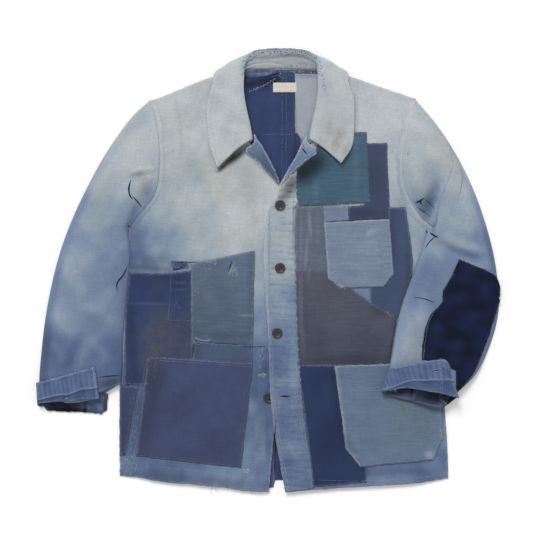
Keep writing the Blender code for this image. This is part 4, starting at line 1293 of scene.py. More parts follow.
SLEEVE_LEFT = (
    (290.5, 244.0, 293.0, 62.0, 0.0, 3.6, 12.0, -36.0, 0.0),
    (335.0, 171.0, 286.0, 66.0, 0.0, 4.8, 14.0, -16.0, 0.0),
    (370.0, 84.0, 273.0, 66.0, 0.0, 5.4, 16.0, -5.0, 0.0),
    (391.5, -12.0, 268.0, 50.0, 0.0, 6.0, 18.0, 0.0, 0.0),
    (394.5, -60.5, 248.0, -4.0, 0.0, 10.0, 18.0, 0.0, 0.0),
    (375.5, -138.5, 223.5, -74.0, 0.0, 11.4, 18.0, 0.0, 0.0),
    (353.0, -179.5, 211.0, -140.0, 7.0, 16.6, 16.0, 0.0, 0.0),
    (321.0, -210.0, 201.5, -196.0, 13.0, 16.8, 14.5, 0.0, 20.0),
)
SLEEVE_EDGE = 2 * CLOTH + GAP    # a flattened sleeve's thickness at its edges
OVER_COLUMNS = 62      # points across a sleeve's upper layer
UNDER_COLUMNS = 22     # and across its lower layer
RIGHT_SLEEVE_CREASES = (
    # start x, y; end x, y; bend; height; width towards either side
    (-216, 190, -236, 92, 8, 1.6, 9, 16),
    (-196, 170, -232, 150, 4, 0.8, 8, 10),
    (-222, 158, -190, 152, 0, 1.0, 4, 7),
    (-226, 120, -248, 60, 6, -1.6, 5, 9),
    (-236, 163, -188, 172, 2, 2.2, 9, 4),
    (-262, 210, -300, 110, -12, 1.2, 16, 22),
    (-240, 150, -290, 70, 10, 1.0, 14, 18),
    (-330, 90, -270, 20, 8, 0.9, 12, 20),
    (-256, 40, -300, -20, 6, 0.9, 10, 16),
    (-350, 20, -300, -50, -8, 0.9, 14, 18),
    (-255, -20, -330, -70, 10, 1.1, 12, 20),
    (-370, -60, -320, -120, -6, 0.9, 12, 16),
    (-310, -60, -258, -100, 5, 0.9, 9, 14),
    (-342, -176, -306, -104, 5, -1.3, 9, 13),
    (-326, -176, -288, -108, 4, 1.1, 9, 18),
    (-300, -110, -266, -160, -3, 1.0, 7, 12),
    (-372, -120, -344, -166, 3, 0.9, 7, 11),
)
LEFT_SLEEVE_CREASES = (
    (246, 120, 262, 92, 3, -1.9, 4, 7),
    (302, 165, 271, 68, -1.5, -2.4, 12, 1.8),
    (262, 92, 284, 122, 2, -1.6, 5, 8),
    (240, 200, 262, 120, 5, 1.2, 8, 12),
    (270, 214, 282, 180, 3, 1.0, 6, 9),
    (300, 196, 312, 206, 0, 0.8, 5, 6),
    (284, 230, 320, 160, -8, 1.1, 12, 18),
    (330, 150, 350, 90, -5, 1.0, 12, 16),
    (266, 76, 284, 60, 2, -2.0, 4, 6),
    (286, 62, 380, 32, -8, 2.2, 8, 14),
    (290, 48, 376, 16, -6, -1.2, 7, 10),
    (300, 88, 360, 62, -5, 1.2, 9, 13),
    (276, 40, 296, 10, 2, 1.2, 6, 9),
    (292, -46, 312, -78, 2, 1.3, 5, 9),
    (262, -30, 250, -100, 4, 1.2, 8, 12),
    (240, -80, 228, -150, 3, 1.1, 7, 11),
    (330, 10, 378, -30, 6, 1.4, 10, 15),
    (300, -10, 350, -70, 8, 1.2, 12, 16),
)
RIGHT_SLEEVE_STAINS = ((-260, 240, 40, 30, 30, 0.25), (-300, 120, 30, 40, 0, 0.15))
LEFT_SLEEVE_STAINS = (
    (300, 215, 30, 40, 0, 0.3), (330, 180, 24, 30, 0, 0.25), (250, -140, 20, 40, 0, 0.3),
    (236, -170, 20, 16, 0, 0.35),
)
RIGHT_SLEEVE_SHADES = (
    (-213, 164, 25, 4.5, 11, 0.32), (-209, 130, 16, 22, 20, 0.16), (-226, 112, 10, 10, 0, 0.2),
    (-326, -142, 7, 38, -28, 0.08), (-266, -193, 18, 9, 10, 0.4), (-222, 160, 14, 10, 30, 0.2),
    (-206, 144, 14, 16, 0, 0.16),
)
LEFT_SLEEVE_SHADES = (
    (270, 148, 16, 34, -20, 0.14), (273, 116, 8, 42, -18, 0.26), (268, 106, 14, 24, -20, 0.2),
    (300, 50, 26, 10, -15, 0.16), (256, 30, 12, 40, 20, 0.12), (330, 30, 26, 6, -20, 0.2),
    (366, 190, 40, 60, 30, 0.05),
)
# The section of an armhole seam: distance from the join towards the body, and height
SEAM_PROFILE = (
    (-2.6, -0.5), (-2.0, 0.1), (-1.2, 0.65), (-0.2, 0.9), (0.9, 0.75), (1.9, 0.42), (3.4, 0.4), (5.2, 0.42),
    (6.8, 0.36), (7.8, 0.1), (8.4, -0.4),
)


def down_the_sleeve(chord):
    """Unit vector across a section, towards the mouth."""
    along = Vector((chord.y, -chord.x)).normalized()
    return -along if along.y > 0.0 else along


def round_section():
    """Shares across a flattened tube, once round it, and whether each is on its upper layer."""
    over = np.linspace(0.0, 1.0, OVER_COLUMNS + 1)
    over = mix(over, (1.0 - np.cos(np.pi * over)) / 2.0, 0.6)
    under = np.linspace(1.0, 0.0, UNDER_COLUMNS + 1)[1:-1]
    under = mix(under, (1.0 - np.cos(np.pi * under)) / 2.0, 0.6)
    share = np.concatenate([over, under])
    return share, np.arange(len(share)) <= OVER_COLUMNS


def sleeve_sections(armhole, top, rows):
    share, over = round_section()
    arch = 4.0 * share * (1.0 - share)
    full = arch ** 0.45
    flat = 1.0 - arch ** 0.3
    run = [0.0]
    for (x0, y0), (x1, y1) in zip(armhole, armhole[1:]):
        run.append(run[-1] + math.hypot(x1 - x0, y1 - y0))
    dense = curve([(x, y, 0.0) for x, y in armhole], [16] * (len(armhole) - 1))
    marks = np.concatenate([[0.0], np.cumsum(np.linalg.norm(np.diff(dense, axis=0), axis=1))]) / run[-1]
    x = np.interp(share, marks / marks[-1], dense[:, 0])
    y = np.interp(share, marks / marks[-1], dense[:, 1])
    middle = SLEEVE_EDGE / 2
    head = mix(middle, top(x, y), np.minimum(arch ** 0.5 / 0.5, 1.0))
    sections = [np.c_[x, y, np.where(over, head, middle * flat)]]
    for outer_x, outer_y, inner_x, inner_y, rise_outer, rise_inner, thick, bow, reach in rows:
        start = Vector((outer_x, outer_y))
        chord = Vector((inner_x, inner_y)) - start
        along = down_the_sleeve(chord)
        shift = bow * arch ** 1.5 + np.where(over, 0.0, reach * arch)
        x = start.x + chord.x * share + along.x * shift
        y = start.y + chord.y * share + along.y * shift
        low = mix(rise_outer, rise_inner, share)
        z = np.where(over, low + middle + (thick - middle) * full, low + middle * flat)
        sections.append(np.c_[x, y, z])
    return np.array(sections)


def build_sleeve(name, nodes, armhole, top, rows, table, fade, stains, shades, seed):
    sections = sleeve_sections(armhole, top, rows)
    grid = loft(sections, steps_between(sections, 3.0))
    share, over = round_section()
    arch = 4.0 * share * (1.0 - share)
    off = np.hypot(grid[..., 0] - SHOULDER_SWELL[0], grid[..., 1] - SHOULDER_SWELL[1])
    swell = SWELL_BY * bell(off, SWELL_SIZE) * (1.0 - smooth(share / 0.3))
    grid = grid + swell[..., None] * np.array(SWELL_TOWARDS)
    x, y, _ = np.moveaxis(grid, -1, 0)
    lengths = lengths_along(grid, 0)
    to_mouth = lengths[-1:] - lengths
    upper = np.where(over, smooth(arch / 0.3), 0.0)[None, :]
    near_head = smooth(lengths / 16.0)
    slow = 0.8 * wobble(x, y, 70.0, seed) + 0.4 * wobble(x, y, 30.0, seed + 1)
    slow = slow + 0.1 * wobble(x, y, 12.0, seed + 2)
    lift = upper * mix(0.35, 1.0, near_head) * (slow + creases(table, x, y))
    under = np.where(over, 0.0, 1.0)[None, :] * smooth(arch / 0.5)
    lift = lift + under * 0.5 * (1.0 + wobble(x, y, 50.0, seed + 5))
    # The seam at the head: a ridge of turned cloth and the pull of its stitches
    lift = lift + upper * 0.5 * bell(lengths - 4.0, 3.0)
    across = lengths_along(np.concatenate([grid, grid[:, :1]], axis=1), 1)[:, :-1]
    pulls = np.sin(across * math.tau / 12.0 + 2.0 * np.sin(across / 17.0 + seed))
    lift = lift + upper * 0.25 * pulls * bell(lengths - 7.0, 8.0)
    grid = grid + np.stack([np.zeros_like(lift), np.zeros_like(lift), lift], axis=-1)
    # Bluer and darker along the outer edge where the sleeve rolls under: partly the cloth's colour, partly
    # painted shade
    outer_band = 0.13 * (1.0 - smooth((share - 0.06) / 0.09)) * near_head
    fields = {
        "fade": np.where(over, fade(x, y) - outer_band, 0.35),
        "stain": blobs(stains, x, y) * upper,
        "shade": blobs(shades, x, y) * upper,
        "crest": (0.4 * slow + 0.9 * creases(table, x, y)) * upper,
        "edge": np.minimum(np.minimum(lengths + 1.2, to_mouth), 30.0),
    }
    lofted_piece(
        name, grid, "body", nodes, CLOTH, 1.0, fields, closed=True,
    )


def build_armhole_seam(name, armhole, top, fade, body_side, seed):
    """The felled seam round an armhole: a strip on the body, with its ridge over the join."""
    line = curve([(x, y, 0.0) for x, y in armhole], [12] * (len(armhole) - 1))[:, :2]
    down = np.gradient(line, axis=0)
    down /= np.linalg.norm(down, axis=1, keepdims=True)
    side = np.c_[-down[:, 1], down[:, 0]]
    run = np.concatenate([[0.0], np.cumsum(np.linalg.norm(np.diff(line, axis=0), axis=1))])
    varies = (1.0 + 0.1 * np.sin(run / 5.0 + seed) + 0.08 * np.sin(run / 2.1))[:, None]
    across, rise = (np.array(column) for column in zip(*SEAM_PROFILE))
    if body_side < 0:
        across, rise = -across[::-1], rise[::-1]
    x, y = np.moveaxis(line[:, None] + side[:, None] * (across[None, :] * varies)[..., None], -1, 0)
    ends = smooth(run / 6.0) * smooth((run[-1] - run) / 6.0)
    z = top(x, y) + rise[None, :] * varies - 1.2 * (1.0 - ends)[:, None]
    grid = np.stack([x, y, z], axis=-1)
    ridge = bell(across, 2.0)[None, :]
    fields = {
        "fade": fade(x, y) + 0.05 * ridge, "stain": 0.0, "shade": 0.0, "rub": 0.22 * ridge, "crest": 0.0,
        "edge": 20.0,
    }
    lofted_piece(
        name, grid, "body", [], 0.5, -1.0, fields,
    )


def build_sleeves():
    build_sleeve(
        "sleeve_right_cloth", ["sleeve_right"], ARMHOLE_RIGHT, right_top, SLEEVE_RIGHT, RIGHT_SLEEVE_CREASES,
        body_fade(RIGHT_SLEEVE_FADE), RIGHT_SLEEVE_STAINS, RIGHT_SLEEVE_SHADES, 71,
    )
    build_sleeve(
        "sleeve_left_cloth", ["sleeve_left_arm", "sleeve_left_forearm"], ARMHOLE_LEFT, left_top, SLEEVE_LEFT,
        LEFT_SLEEVE_CREASES, body_fade(LEFT_SLEEVE_FADE), LEFT_SLEEVE_STAINS, LEFT_SLEEVE_SHADES, 81,
    )
    build_armhole_seam("seam_right_armhole", ARMHOLE_RIGHT, right_top, body_fade(RIGHT_FADE), 1, 85)
    build_armhole_seam("seam_left_armhole", ARMHOLE_LEFT, left_top, body_fade(LEFT_FADE), -1, 86)


# Sections of the cuffs, from the turned-up hem to the mouth: free end; wrapped end; rise at both;
# thickness; how far the lower layer reaches past the upper one
CUFF_RIGHT = (
    (-293.5, -165.0, -394.0, -193.0, 0.0, 0.0, 19.5, 0.0),
    (-286.5, -219.5, -392.5, -228.5, 0.0, 0.0, 18.0, 6.0),
)
CUFF_LEFT = (
    (305.0, -150.0, 205.0, -167.0, 12.0, 12.4, 23.5, 0.0),
    (322.5, -217.0, 193.0, -204.0, 12.0, 12.4, 22.0, 7.0),
)
CUFF_ACROSS = 8        # spans across its upper layer
# Once round a section: share across; height; share of the reach
CUFF_WRAP = ((0.97, 0.82, 0.0), (1.0, 0.45, 0.5), (0.97, 0.12, 1.0))
CUFF_ROUND = (
    *((i / CUFF_ACROSS, 1.0, 0.0) for i in range(CUFF_ACROSS)), *CUFF_WRAP,
    *((1.0 - i / CUFF_ACROSS, 0.0, 1.0) for i in (1, 2)),
)
CUFF_STEPS = 6
CUFF_TOP = CUFF_ACROSS * CUFF_STEPS    # columns up to the wrapped end
# Share across from the free end, and how far the upper layer stops short of the mouth there
LEFT_CUFF_PULL = (
    (0.0, 0.0), (0.15, 3.2), (0.3, 5.9), (0.44, 6.0), (0.54, 8.8), (0.68, 9.6), (0.84, 4.5), (0.94, -1.0),
    (1.0, 0.0),
)
RIGHT_CUFF_PULL = (
    (0.0, 0.0), (0.1, -1.0), (0.2, 3.0), (0.34, 1.0), (0.5, -1.0), (0.62, 1.0), (0.8, 1.5), (1.0, 0.0),
)
# The lower layer that shows in each mouth: x, y of its corners
RIGHT_MOUTH = (
    (-389, -222), (-385, -232), (-377, -241), (-345, -243), (-313, -244), (-284, -247), (-275, -240),
    (-273, -212), (-300, -208),
)
RIGHT_MOUTH_SHADES = (
    (-318, -243, 60, 6, -2, 0.4), (-352, -236, 44, 20, 0, 0.82), (-277, -230, 5, 26, 0, 0.62),
    (-312, -234, 3, 16, 0, 0.4),
)
LEFT_MOUTH = (
    (199, -212), (209, -196), (244, -190), (300, -200), (323.5, -216), (314, -222), (303, -230),
    (291, -234.5), (276, -233), (262, -228.5), (243, -223.5),
)
LEFT_MOUTH_SHADES = (
    (286, -212, 50, 17, -13, 0.8), (222, -203, 28, 11, 12, 0.72), (262, -222, 40, 10, -8, 0.3),
    (244, -206, 3, 14, -20, 0.3), (312, -222, 10, 6, 40, 0.4),
)


def build_cuff(name, node, rows, seed, brims, rounding, pull, arch):
    """A turned-up cuff.  brims: how far the band's seam lies before the mouth, at the free and the
    wrapped end; rounding: radius of the band's free corner; pull: share across, and how far the
    upper layer stops short of the mouth there; arch: how far the band's upper edge bows."""
    sections = []
    for free_x, free_y, wrap_x, wrap_y, rise_free, rise_wrap, thick, reach in rows:
        at_mouth = reach > 0.0
        start = Vector((free_x, free_y))
        chord = Vector((wrap_x, wrap_y)) - start
        along = down_the_sleeve(chord)
        line = []
        for share, height, reached in CUFF_ROUND:
            if at_mouth:
                back = float(np.interp(share, *zip(*pull))) * height
            else:
                back = arch * 4.0 * share * (1.0 - share)
            point = start + chord * share + along * (reach * reached - back)
            low = mix(rise_free, rise_wrap, share) + CUFF / 2
            line.append((point.x, point.y, low + height * (thick - CUFF)))
        sections.append(curve(line, [CUFF_STEPS] * CUFF_ACROSS + [4] * 4))
    grid = loft(np.array(sections), [24])
    across = lengths_along(grid, 1)
    if rounding:
        short = np.clip(1.0 - across / rounding, 0.0, 1.0)
        drop = rounding * (1.0 - np.sqrt(1.0 - short * short)) * np.linspace(1.0, 0.0, len(grid))[:, None]
        grid = grid + drop[..., None] * np.array([along.x, along.y, 0.0])
    x, y, _ = np.moveaxis(grid, -1, 0)
    down = lengths_along(grid, 0)
    across = lengths_along(grid, 1)
    to_mouth = down[-1:] - down
    edge = np.minimum(np.minimum(down, to_mouth), across)
    whole = np.linalg.norm(grid[:, 0] - grid[:, CUFF_TOP], axis=1)[:, None]
    brim = mix(*brims, np.clip(across / whole, 0, 1))
    on_top = np.arange(grid.shape[1]) <= CUFF_TOP
    # Puckers between its rows of stitches, fanning from the mouth
    bends = 2.6 * np.sin(across / 19.0 + seed)
    waves = np.sin(across * math.tau / 8.6 + bends + 0.03 * down * np.sin(across / 31.0))
    waves = waves + 0.5 * np.sin(across * math.tau / 5.1 + seed)
    band = smooth((down - 2.0) / 7.0) * smooth((to_mouth - brim) / 5.0)
    lift = 0.42 * waves * band * (0.6 + 0.4 * wobble(x, y, 30.0, seed + 1))
    lift = lift + 0.5 * wobble(x, y, 40.0, seed + 2)
    lift = lift + 0.45 * smooth(down / 1.5) * (1.0 - smooth((down - 4.0) / 2.0))
    # The hem's seam, a little before the mouth: a step down and a rolled lip
    step = smooth((brim - to_mouth) / 1.5)
    lift = lift - 1.3 * step + 0.5 * bell(to_mouth - 1.5, 2.0)
    normal = normals_of(grid)
    if normal[2, 10, 2] < 0.0:
        normal = -normal
    lift = np.where(on_top[None, :], lift, 0.4 * lift)
    grid = grid + normal * lift[..., None]
    fields = {
        "fade": 0.5 + 0.3 * wobble(x, y, 24.0, seed + 3) + 0.16 * waves * band - 0.25 * step,
        # Painted shade along the hem's seam and over the step beyond it
        "shade": 0.5 * bell(to_mouth - brim, 1.3) + 0.12 * step,
        "rub": 0.5 * bell(to_mouth - brim - 2.4, 1.1) + 0.3 * bell(across - 4.0, 1.4),
        "crest": 1.2 * waves * band,
        "edge": edge,
    }
    lofted_piece(
        name, grid, "cuff", [node], CUFF, 0.0, fields,
    )


def build_mouth(name, line, height, shades, seed):
    """The cuff's lower layer, seen in its mouth."""
    flat_piece(
        name, None, varied(height, 0.9, 26.0, seed), PATCH, "cuff_inner", seed,
        line=line, nodes=[], rough=0.5, pucker=0.3, spacing=2.6, turned=0.6, turned_width=3.0,
        fade=varied(0.6, 0.2, 18.0, seed + 1), shade=blotches(shades),
    )


def build_cuffs():
    build_cuff(
        "cuff_right_cloth", "cuff_right", CUFF_RIGHT, 91, brims=(18.5, 5.0), rounding=0.0,
        pull=RIGHT_CUFF_PULL, arch=0.0,
    )
    build_cuff(
        "cuff_left_cloth", "cuff_left", CUFF_LEFT, 95, brims=(30.0, 1.0), rounding=13.0,
        pull=LEFT_CUFF_PULL, arch=2.5,
    )
    build_mouth("cuff_right_inside", RIGHT_MOUTH, 3.2, RIGHT_MOUTH_SHADES, 97)
    build_mouth("cuff_left_inside", LEFT_MOUTH, 18.5, LEFT_MOUTH_SHADES, 98)


BOX_MARGIN = 2.0       # looked for beyond a piece's box, since its wall stands out from it
DROP_FROM = 0.2        # metres over the table, above everything
# x, y of the elbow patch's corners
ELBOW_LINE = (
    (323, 18), (352, 6), (380, -5), (391, -13), (394, -32), (394.5, -52), (387, -80), (377, -110),
    (362, -149), (347.5, -179), (331.5, -199), (318, -212), (318, -196), (317, -171), (290, -160),
    (260, -152), (261, -128), (264.5, -103), (271.5, -83), (281, -68), (292.5, -56.5), (296.5, -36),
    (303, -24), (312, -8),
)
ELBOW_SHADES = ((318, -106, 34, 8, -35, 0.5), (340, -60, 12, 34, -30, 0.25), (300, -140, 30, 8, 0, 0.2))
ELBOW_CREASES = (
    (330, -10, 376, -50, 5, 0.9, 8, 12), (310, -40, 350, -100, 7, 0.9, 9, 14),
    (300, -80, 330, -140, 6, 0.8, 8, 12), (360, -60, 340, -140, -6, 0.8, 8, 12),
    (280, -110, 310, -150, 3, 0.7, 7, 9), (340, -150, 322, -190, 3, 0.7, 6, 9),
)


def trees_of(pieces):
    """Each piece's least and greatest corner, in millimetres, and its surface, ready for drop_on."""
    graph = bpy.context.evaluated_depsgraph_get()
    trees = []
    for piece in pieces:
        corners = np.array([tuple(corner) for corner in piece.bound_box]) / MM
        low, high = corners.min(0) - BOX_MARGIN, corners.max(0) + BOX_MARGIN
        trees.append((low, high, BVHTree.FromObject(piece, graph)))
    return trees


def drop_on(trees, x, y):
    """Height of whatever lies highest at each point, and its normal."""
    heights = np.full(len(x), np.nan)
    normals = np.tile((0.0, 0.0, 1.0), (len(x), 1))
    down = Vector((0.0, 0.0, -1.0))
    for i, (px, py) in enumerate(zip(x, y)):
        for low, high, tree in trees:
            if not (low[0] < px < high[0] and low[1] < py < high[1]):
                continue
            place, normal, _, _ = tree.ray_cast(Vector((px * MM, py * MM, DROP_FROM)), down)
            if place is not None and not place.z / MM <= heights[i]:
                heights[i] = place.z / MM
                normals[i] = normal
    return heights, normals


def build_elbow():
    sleeve = trees_of(piece for piece in SURFACES if piece.name == "sleeve_left_cloth")

    def top(x, y):
        heights, _ = drop_on(sleeve, x, y)
        lost = np.isnan(heights)
        if lost.any():
            known = zip(x[~lost][::7], y[~lost][::7], heights[~lost][::7])
            heights[lost] = spread(known, x[lost], y[lost], 1.0)
        return heights + PATCH + 0.5

    flat_piece(
        "elbow_patch_cloth", None, top, PATCH, "elbow", 100, line=ELBOW_LINE,
        nodes=["elbow_patch"], rough=0.6, pucker=0.3, turned=0.35,
        more=lambda x, y: creases(ELBOW_CREASES, x, y), fade=varied(0.5, 0.35, 36.0, 101),
        crest=lambda x, y: 2.0 * creases(ELBOW_CREASES, x, y), shade=blotches(ELBOW_SHADES),
    )


# Buttons -----------------------------------------------------------------------------------------

# x, y of each button; the last is undone and half under the placket
BUTTONS = ((20.5, 109.0), (20.5, 2.5), (15.5, -108.0), OPEN_BUTTON)
BUTTON_RADIUS = 8.8
BUTTON_SIDES = 56
# Half a button's section: distance from its middle, height
BUTTON_PROFILE = (
    (0.0, 0.0), (7.2, 0.0), (8.3, 0.5), (8.8, 1.2), (8.75, 2.0), (8.3, 2.7), (7.6, 3.0), (6.9, 2.9),
    (6.3, 2.45), (5.9, 2.0), (5.2, 1.85), (3.0, 1.8), (0.0, 1.8),
)
HOLE_OUT = 2.1         # how far a button's four holes lie from its middle, each way
HOLE_RADIUS = 0.85
HOLE_SIDES = 12
HOLE_HEIGHT = 1.88     # just above the button's face
BAR_HEIGHT = 2.15      # of the threads over it
BARS = []              # threads through the buttons' holes: both ends and height
HORN = plain("horn", "#251b1e", rough=0.36, specular=0.55, uneven=0.35, size=3.0)
DARK_HORN = plain("dark_horn", "#1a201c", rough=0.42, specular=0.5, uneven=0.4, size=3.0)
# Dark discs over the buttons' holes: painted shadow in their depth
HOLE_SHADOW = plain("button_hole_shadow", "#0b090c", rough=0.8)


def build_button(number, x, y, base, turn):
    points = []
    faces = []
    turns = [math.tau * k / BUTTON_SIDES for k in range(BUTTON_SIDES)]
    for radius, height in BUTTON_PROFILE:
        points += [(x + radius * math.cos(a), y + radius * math.sin(a), base + height) for a in turns]
    for i in range(len(BUTTON_PROFILE) - 1):
        for j in range(BUTTON_SIDES):
            k = (j + 1) % BUTTON_SIDES
            low, high = i * BUTTON_SIDES, (i + 1) * BUTTON_SIDES
            faces.append((low + j, low + k, high + k, high + j))
    horn = DARK_HORN if number == len(BUTTONS) else HORN
    add_object(f"button_{number}_horn", points, faces, horn, [f"button_{number}"])
    points = []
    faces = []
    c, s = math.cos(turn), math.sin(turn)
    for side_x, side_y in ((1, 1), (-1, 1), (-1, -1), (1, -1)):
        cx = x + (side_x * c - side_y * s) * HOLE_OUT
        cy = y + (side_x * s + side_y * c) * HOLE_OUT
        faces.append(tuple(range(len(points), len(points) + HOLE_SIDES)))
        for k in range(HOLE_SIDES):
            a = math.tau * k / HOLE_SIDES
            rim_x, rim_y = cx + HOLE_RADIUS * math.cos(a), cy + HOLE_RADIUS * math.sin(a)
            points.append((rim_x, rim_y, base + HOLE_HEIGHT))
    # the holes are dark discs of painted shadow
    add_object(f"button_{number}_holes", points, faces, HOLE_SHADOW, [])
    for side in (1, -1):
        ax, ay = x + (side * c + s) * HOLE_OUT, y + (side * s - c) * HOLE_OUT
        bx, by = x + (side * c - s) * HOLE_OUT, y + (side * s + c) * HOLE_OUT
        for shift in (-0.3, 0.3):
            BARS.append((ax + shift * c, ay + shift * s, bx + shift * c, by + shift * s, base + BAR_HEIGHT))


def build_buttons():
    around = [(math.cos(a), math.sin(a)) for a in np.linspace(0.0, math.tau, 16, endpoint=False)]
    for number, (x, y) in enumerate(BUTTONS, 1):
        beds = ("front_right_cloth",) if (x, y) == OPEN_BUTTON else ("placket_cloth", "front_left_cloth")
        bed = trees_of(piece for piece in SURFACES if piece.name in beds)
        xs = [x] + [x + BUTTON_RADIUS * 0.9 * c for c, _ in around]
        ys = [y] + [y + BUTTON_RADIUS * 0.9 * s for _, s in around]
        heights, _ = drop_on(bed, xs, ys)
        build_button(number, x, y, float(np.nanmax(heights)) + 0.25, 0.3 * number)


# Threads -----------------------------------------------------------------------------------------

STITCHES = {colour: [] for colour in THREADS}
STRANDS = {colour: [] for colour in THREADS}
STEEPEST = 1.6         # a strand drops no further than this from one of its points to the next


def stitch(colour, x, y, turn, length, width, height):
    """One stitch lying on the cloth.  turn: its heading in radians."""
    STITCHES[colour].append((x, y, turn, length, width, height))


def along_line(points, pitch, closed=False):
    """Evenly spaced places along a line, each with its heading."""
    points = [Vector(p[:2]) for p in points]
    if closed:
        points = points + points[:1]
    left = 0.0
    for a, b in zip(points, points[1:]):
        length = (b - a).length
        if length < 1e-6:
            continue
        heading = math.atan2(b.y - a.y, b.x - a.x)
        while left < length:
            yield a.lerp(b, left / length), heading
            left += pitch
        left -= length


def stitch_row(colour, points, pitch, length, width=0.65, *, seed, missing, closed=False, lean=0.0):
    """Running stitches along a line.  missing: the share that has worn away; lean: turn of each one."""
    draw = np.random.default_rng(seed)
    for place, heading in along_line(points, pitch, closed):
        off = draw.normal(0, 0.2)
        turned = draw.normal(0, 0.1)
        size = draw.uniform(0.75, 1.15)
        if draw.random() < missing:
            continue
        x = place.x - math.sin(heading) * off
        y = place.y + math.cos(heading) * off
        stitch(colour, x, y, heading + lean + turned, length * size, width, 0.4)


def inset(line, distance):
    """A closed anticlockwise line moved inwards."""
    moved = []
    for i, point in enumerate(line):
        along = line[(i + 1) % len(line)] - line[i - 1]
        if along.length > 1e-6:
            along.normalize()
            moved.append(point + Vector((-along.y, along.x)) * distance)
    return moved


def zigzag(colour, points, pitch, reach, seed):
    """A mend of slanting stitches across a line."""
    draw = np.random.default_rng(seed)
    side = 1
    for place, heading in along_line(points, pitch):
        lean = heading + side * (1.05 + draw.normal(0, 0.12))
        stitch(colour, place.x, place.y, lean, reach * draw.uniform(0.8, 1.15), 0.6, 0.45)
        side = -side


def darn(colour, cx, cy, half_width, half_height, turn, count, length, seed):
    """Short parallel stitches over a worn place."""
    draw = np.random.default_rng(seed)
    angle = math.radians(turn)
    for _ in range(count):
        u, v = draw.uniform(-1, 1), draw.uniform(-1, 1)
        if u * u + v * v > 1.0:
            continue
        x = cx + u * half_width * math.cos(angle) - v * half_height * math.sin(angle)
        y = cy + u * half_width * math.sin(angle) + v * half_height * math.cos(angle)
        stitch(colour, x, y, angle + draw.normal(0, 0.12), length * draw.uniform(0.6, 1.2), 0.5, 0.35)


def frays(colour, points, pitch, length, seed, closed=False, out=1):
    """Loose yarn ends that stick out to the right of a line, or to its left where out is -1."""
    draw = np.random.default_rng(seed)
    for place, heading in along_line(points, pitch, closed):
        bend = draw.normal(0, 0.5)
        aim = heading - math.pi / 2 * out + draw.normal(0, 0.9)
        reach = length * draw.uniform(0.4, 1.3)
        path = []
        x, y = place.x - 0.8 * math.cos(aim), place.y - 0.8 * math.sin(aim)
        steps = 4
        for _ in range(steps + 1):
            path.append((x, y))
            x += math.cos(aim) * reach / steps
            y += math.sin(aim) * reach / steps
            aim += bend / steps * 2.0 + draw.normal(0, 0.2)
        STRANDS[colour].append((path, 0.4 * draw.uniform(0.7, 1.2), False))


def strand(colour, points, spacing, width, tapers):
    path = [tuple(p) for p in resample(points, spacing, closed=False, corner=180.0)]
    STRANDS[colour].append((path, width, tapers))


def shadow_slit(points, width, colour="black"):
    """A dark strand that tapers at both ends: painted shadow in an opening, and along the deepest line of a
    fold.
    """
    strand(colour, points, 1.2, width, True)


def buttonhole(x, y, turn, length, thread, gape):
    """A worked buttonhole: a slit of painted shadow between two rows of close stitches."""
    angle = math.radians(turn)
    c, s = math.cos(angle), math.sin(angle)
    half_length = length / 2
    shadow_slit([(x + k * c, y + k * s) for k in (-half_length, 0.0, half_length)], gape)
    if not thread:
        return
    for side in (1, -1):
        for k in np.arange(-half_length, half_length + 0.1, 1.25):
            px, py = x + k * c - side * (gape + 0.3) * s, y + k * s + side * (gape + 0.3) * c
            stitch(thread, px, py, angle + math.pi / 2, 1.5, 0.7, 0.35)
    for k in (-half_length - 0.6, half_length + 0.6):
        for side in (-0.8, 0.0, 0.8):
            stitch(thread, x + k * c - side * s, y + k * s + side * c, angle, 1.8, 0.7, 0.45)


def build_stitches(trees, colour, rows):
    """Lays all the stitches of one colour on the cloth beneath them."""
    x, y, turn, length, width, height = np.array(rows).T
    low, normal = drop_on(trees, x, y)
    kept = ~np.isnan(low)
    x, y, turn, length, width, height, low, normal = (
        v[kept] for v in (x, y, turn, length, width, height, low, normal)
    )
    centre = np.c_[x, y, low]
    heading = np.c_[np.cos(turn), np.sin(turn), np.zeros_like(turn)]
    heading = heading - normal * (heading * normal).sum(1, keepdims=True)
    heading /= np.linalg.norm(heading, axis=1, keepdims=True)
    side = np.cross(normal, heading)
    corners = np.stack([
        centre + heading * length[:, None] / 2 + normal * 0.02,
        centre + side * width[:, None] / 2 + normal * 0.1,
        centre - heading * length[:, None] / 2 + normal * 0.02,
        centre - side * width[:, None] / 2 + normal * 0.1,
        centre + normal * height[:, None],
        centre - normal * 0.25,
    ], axis=1)
    faces = []
    for base in range(0, 6 * len(corners), 6):
        for a, b in ((0, 1), (1, 2), (2, 3), (3, 0)):
            faces.append((base + a, base + b, base + 4))
            faces.append((base + b, base + a, base + 5))
    add_object(f"stitches_{colour}", corners.reshape(-1, 3), faces, THREADS[colour], [])


def add_rod(points, faces, rings):
    """Adds a three-sided rod, through rings of three points each, to a mesh's points and faces."""
    first = len(points)
    for ring in rings:
        points += ring
    for base in range(first, len(points) - 3, 3):
        for a, b in ((0, 1), (1, 2), (2, 0)):
            faces.append((base + a, base + b, base + 3 + b, base + 3 + a))


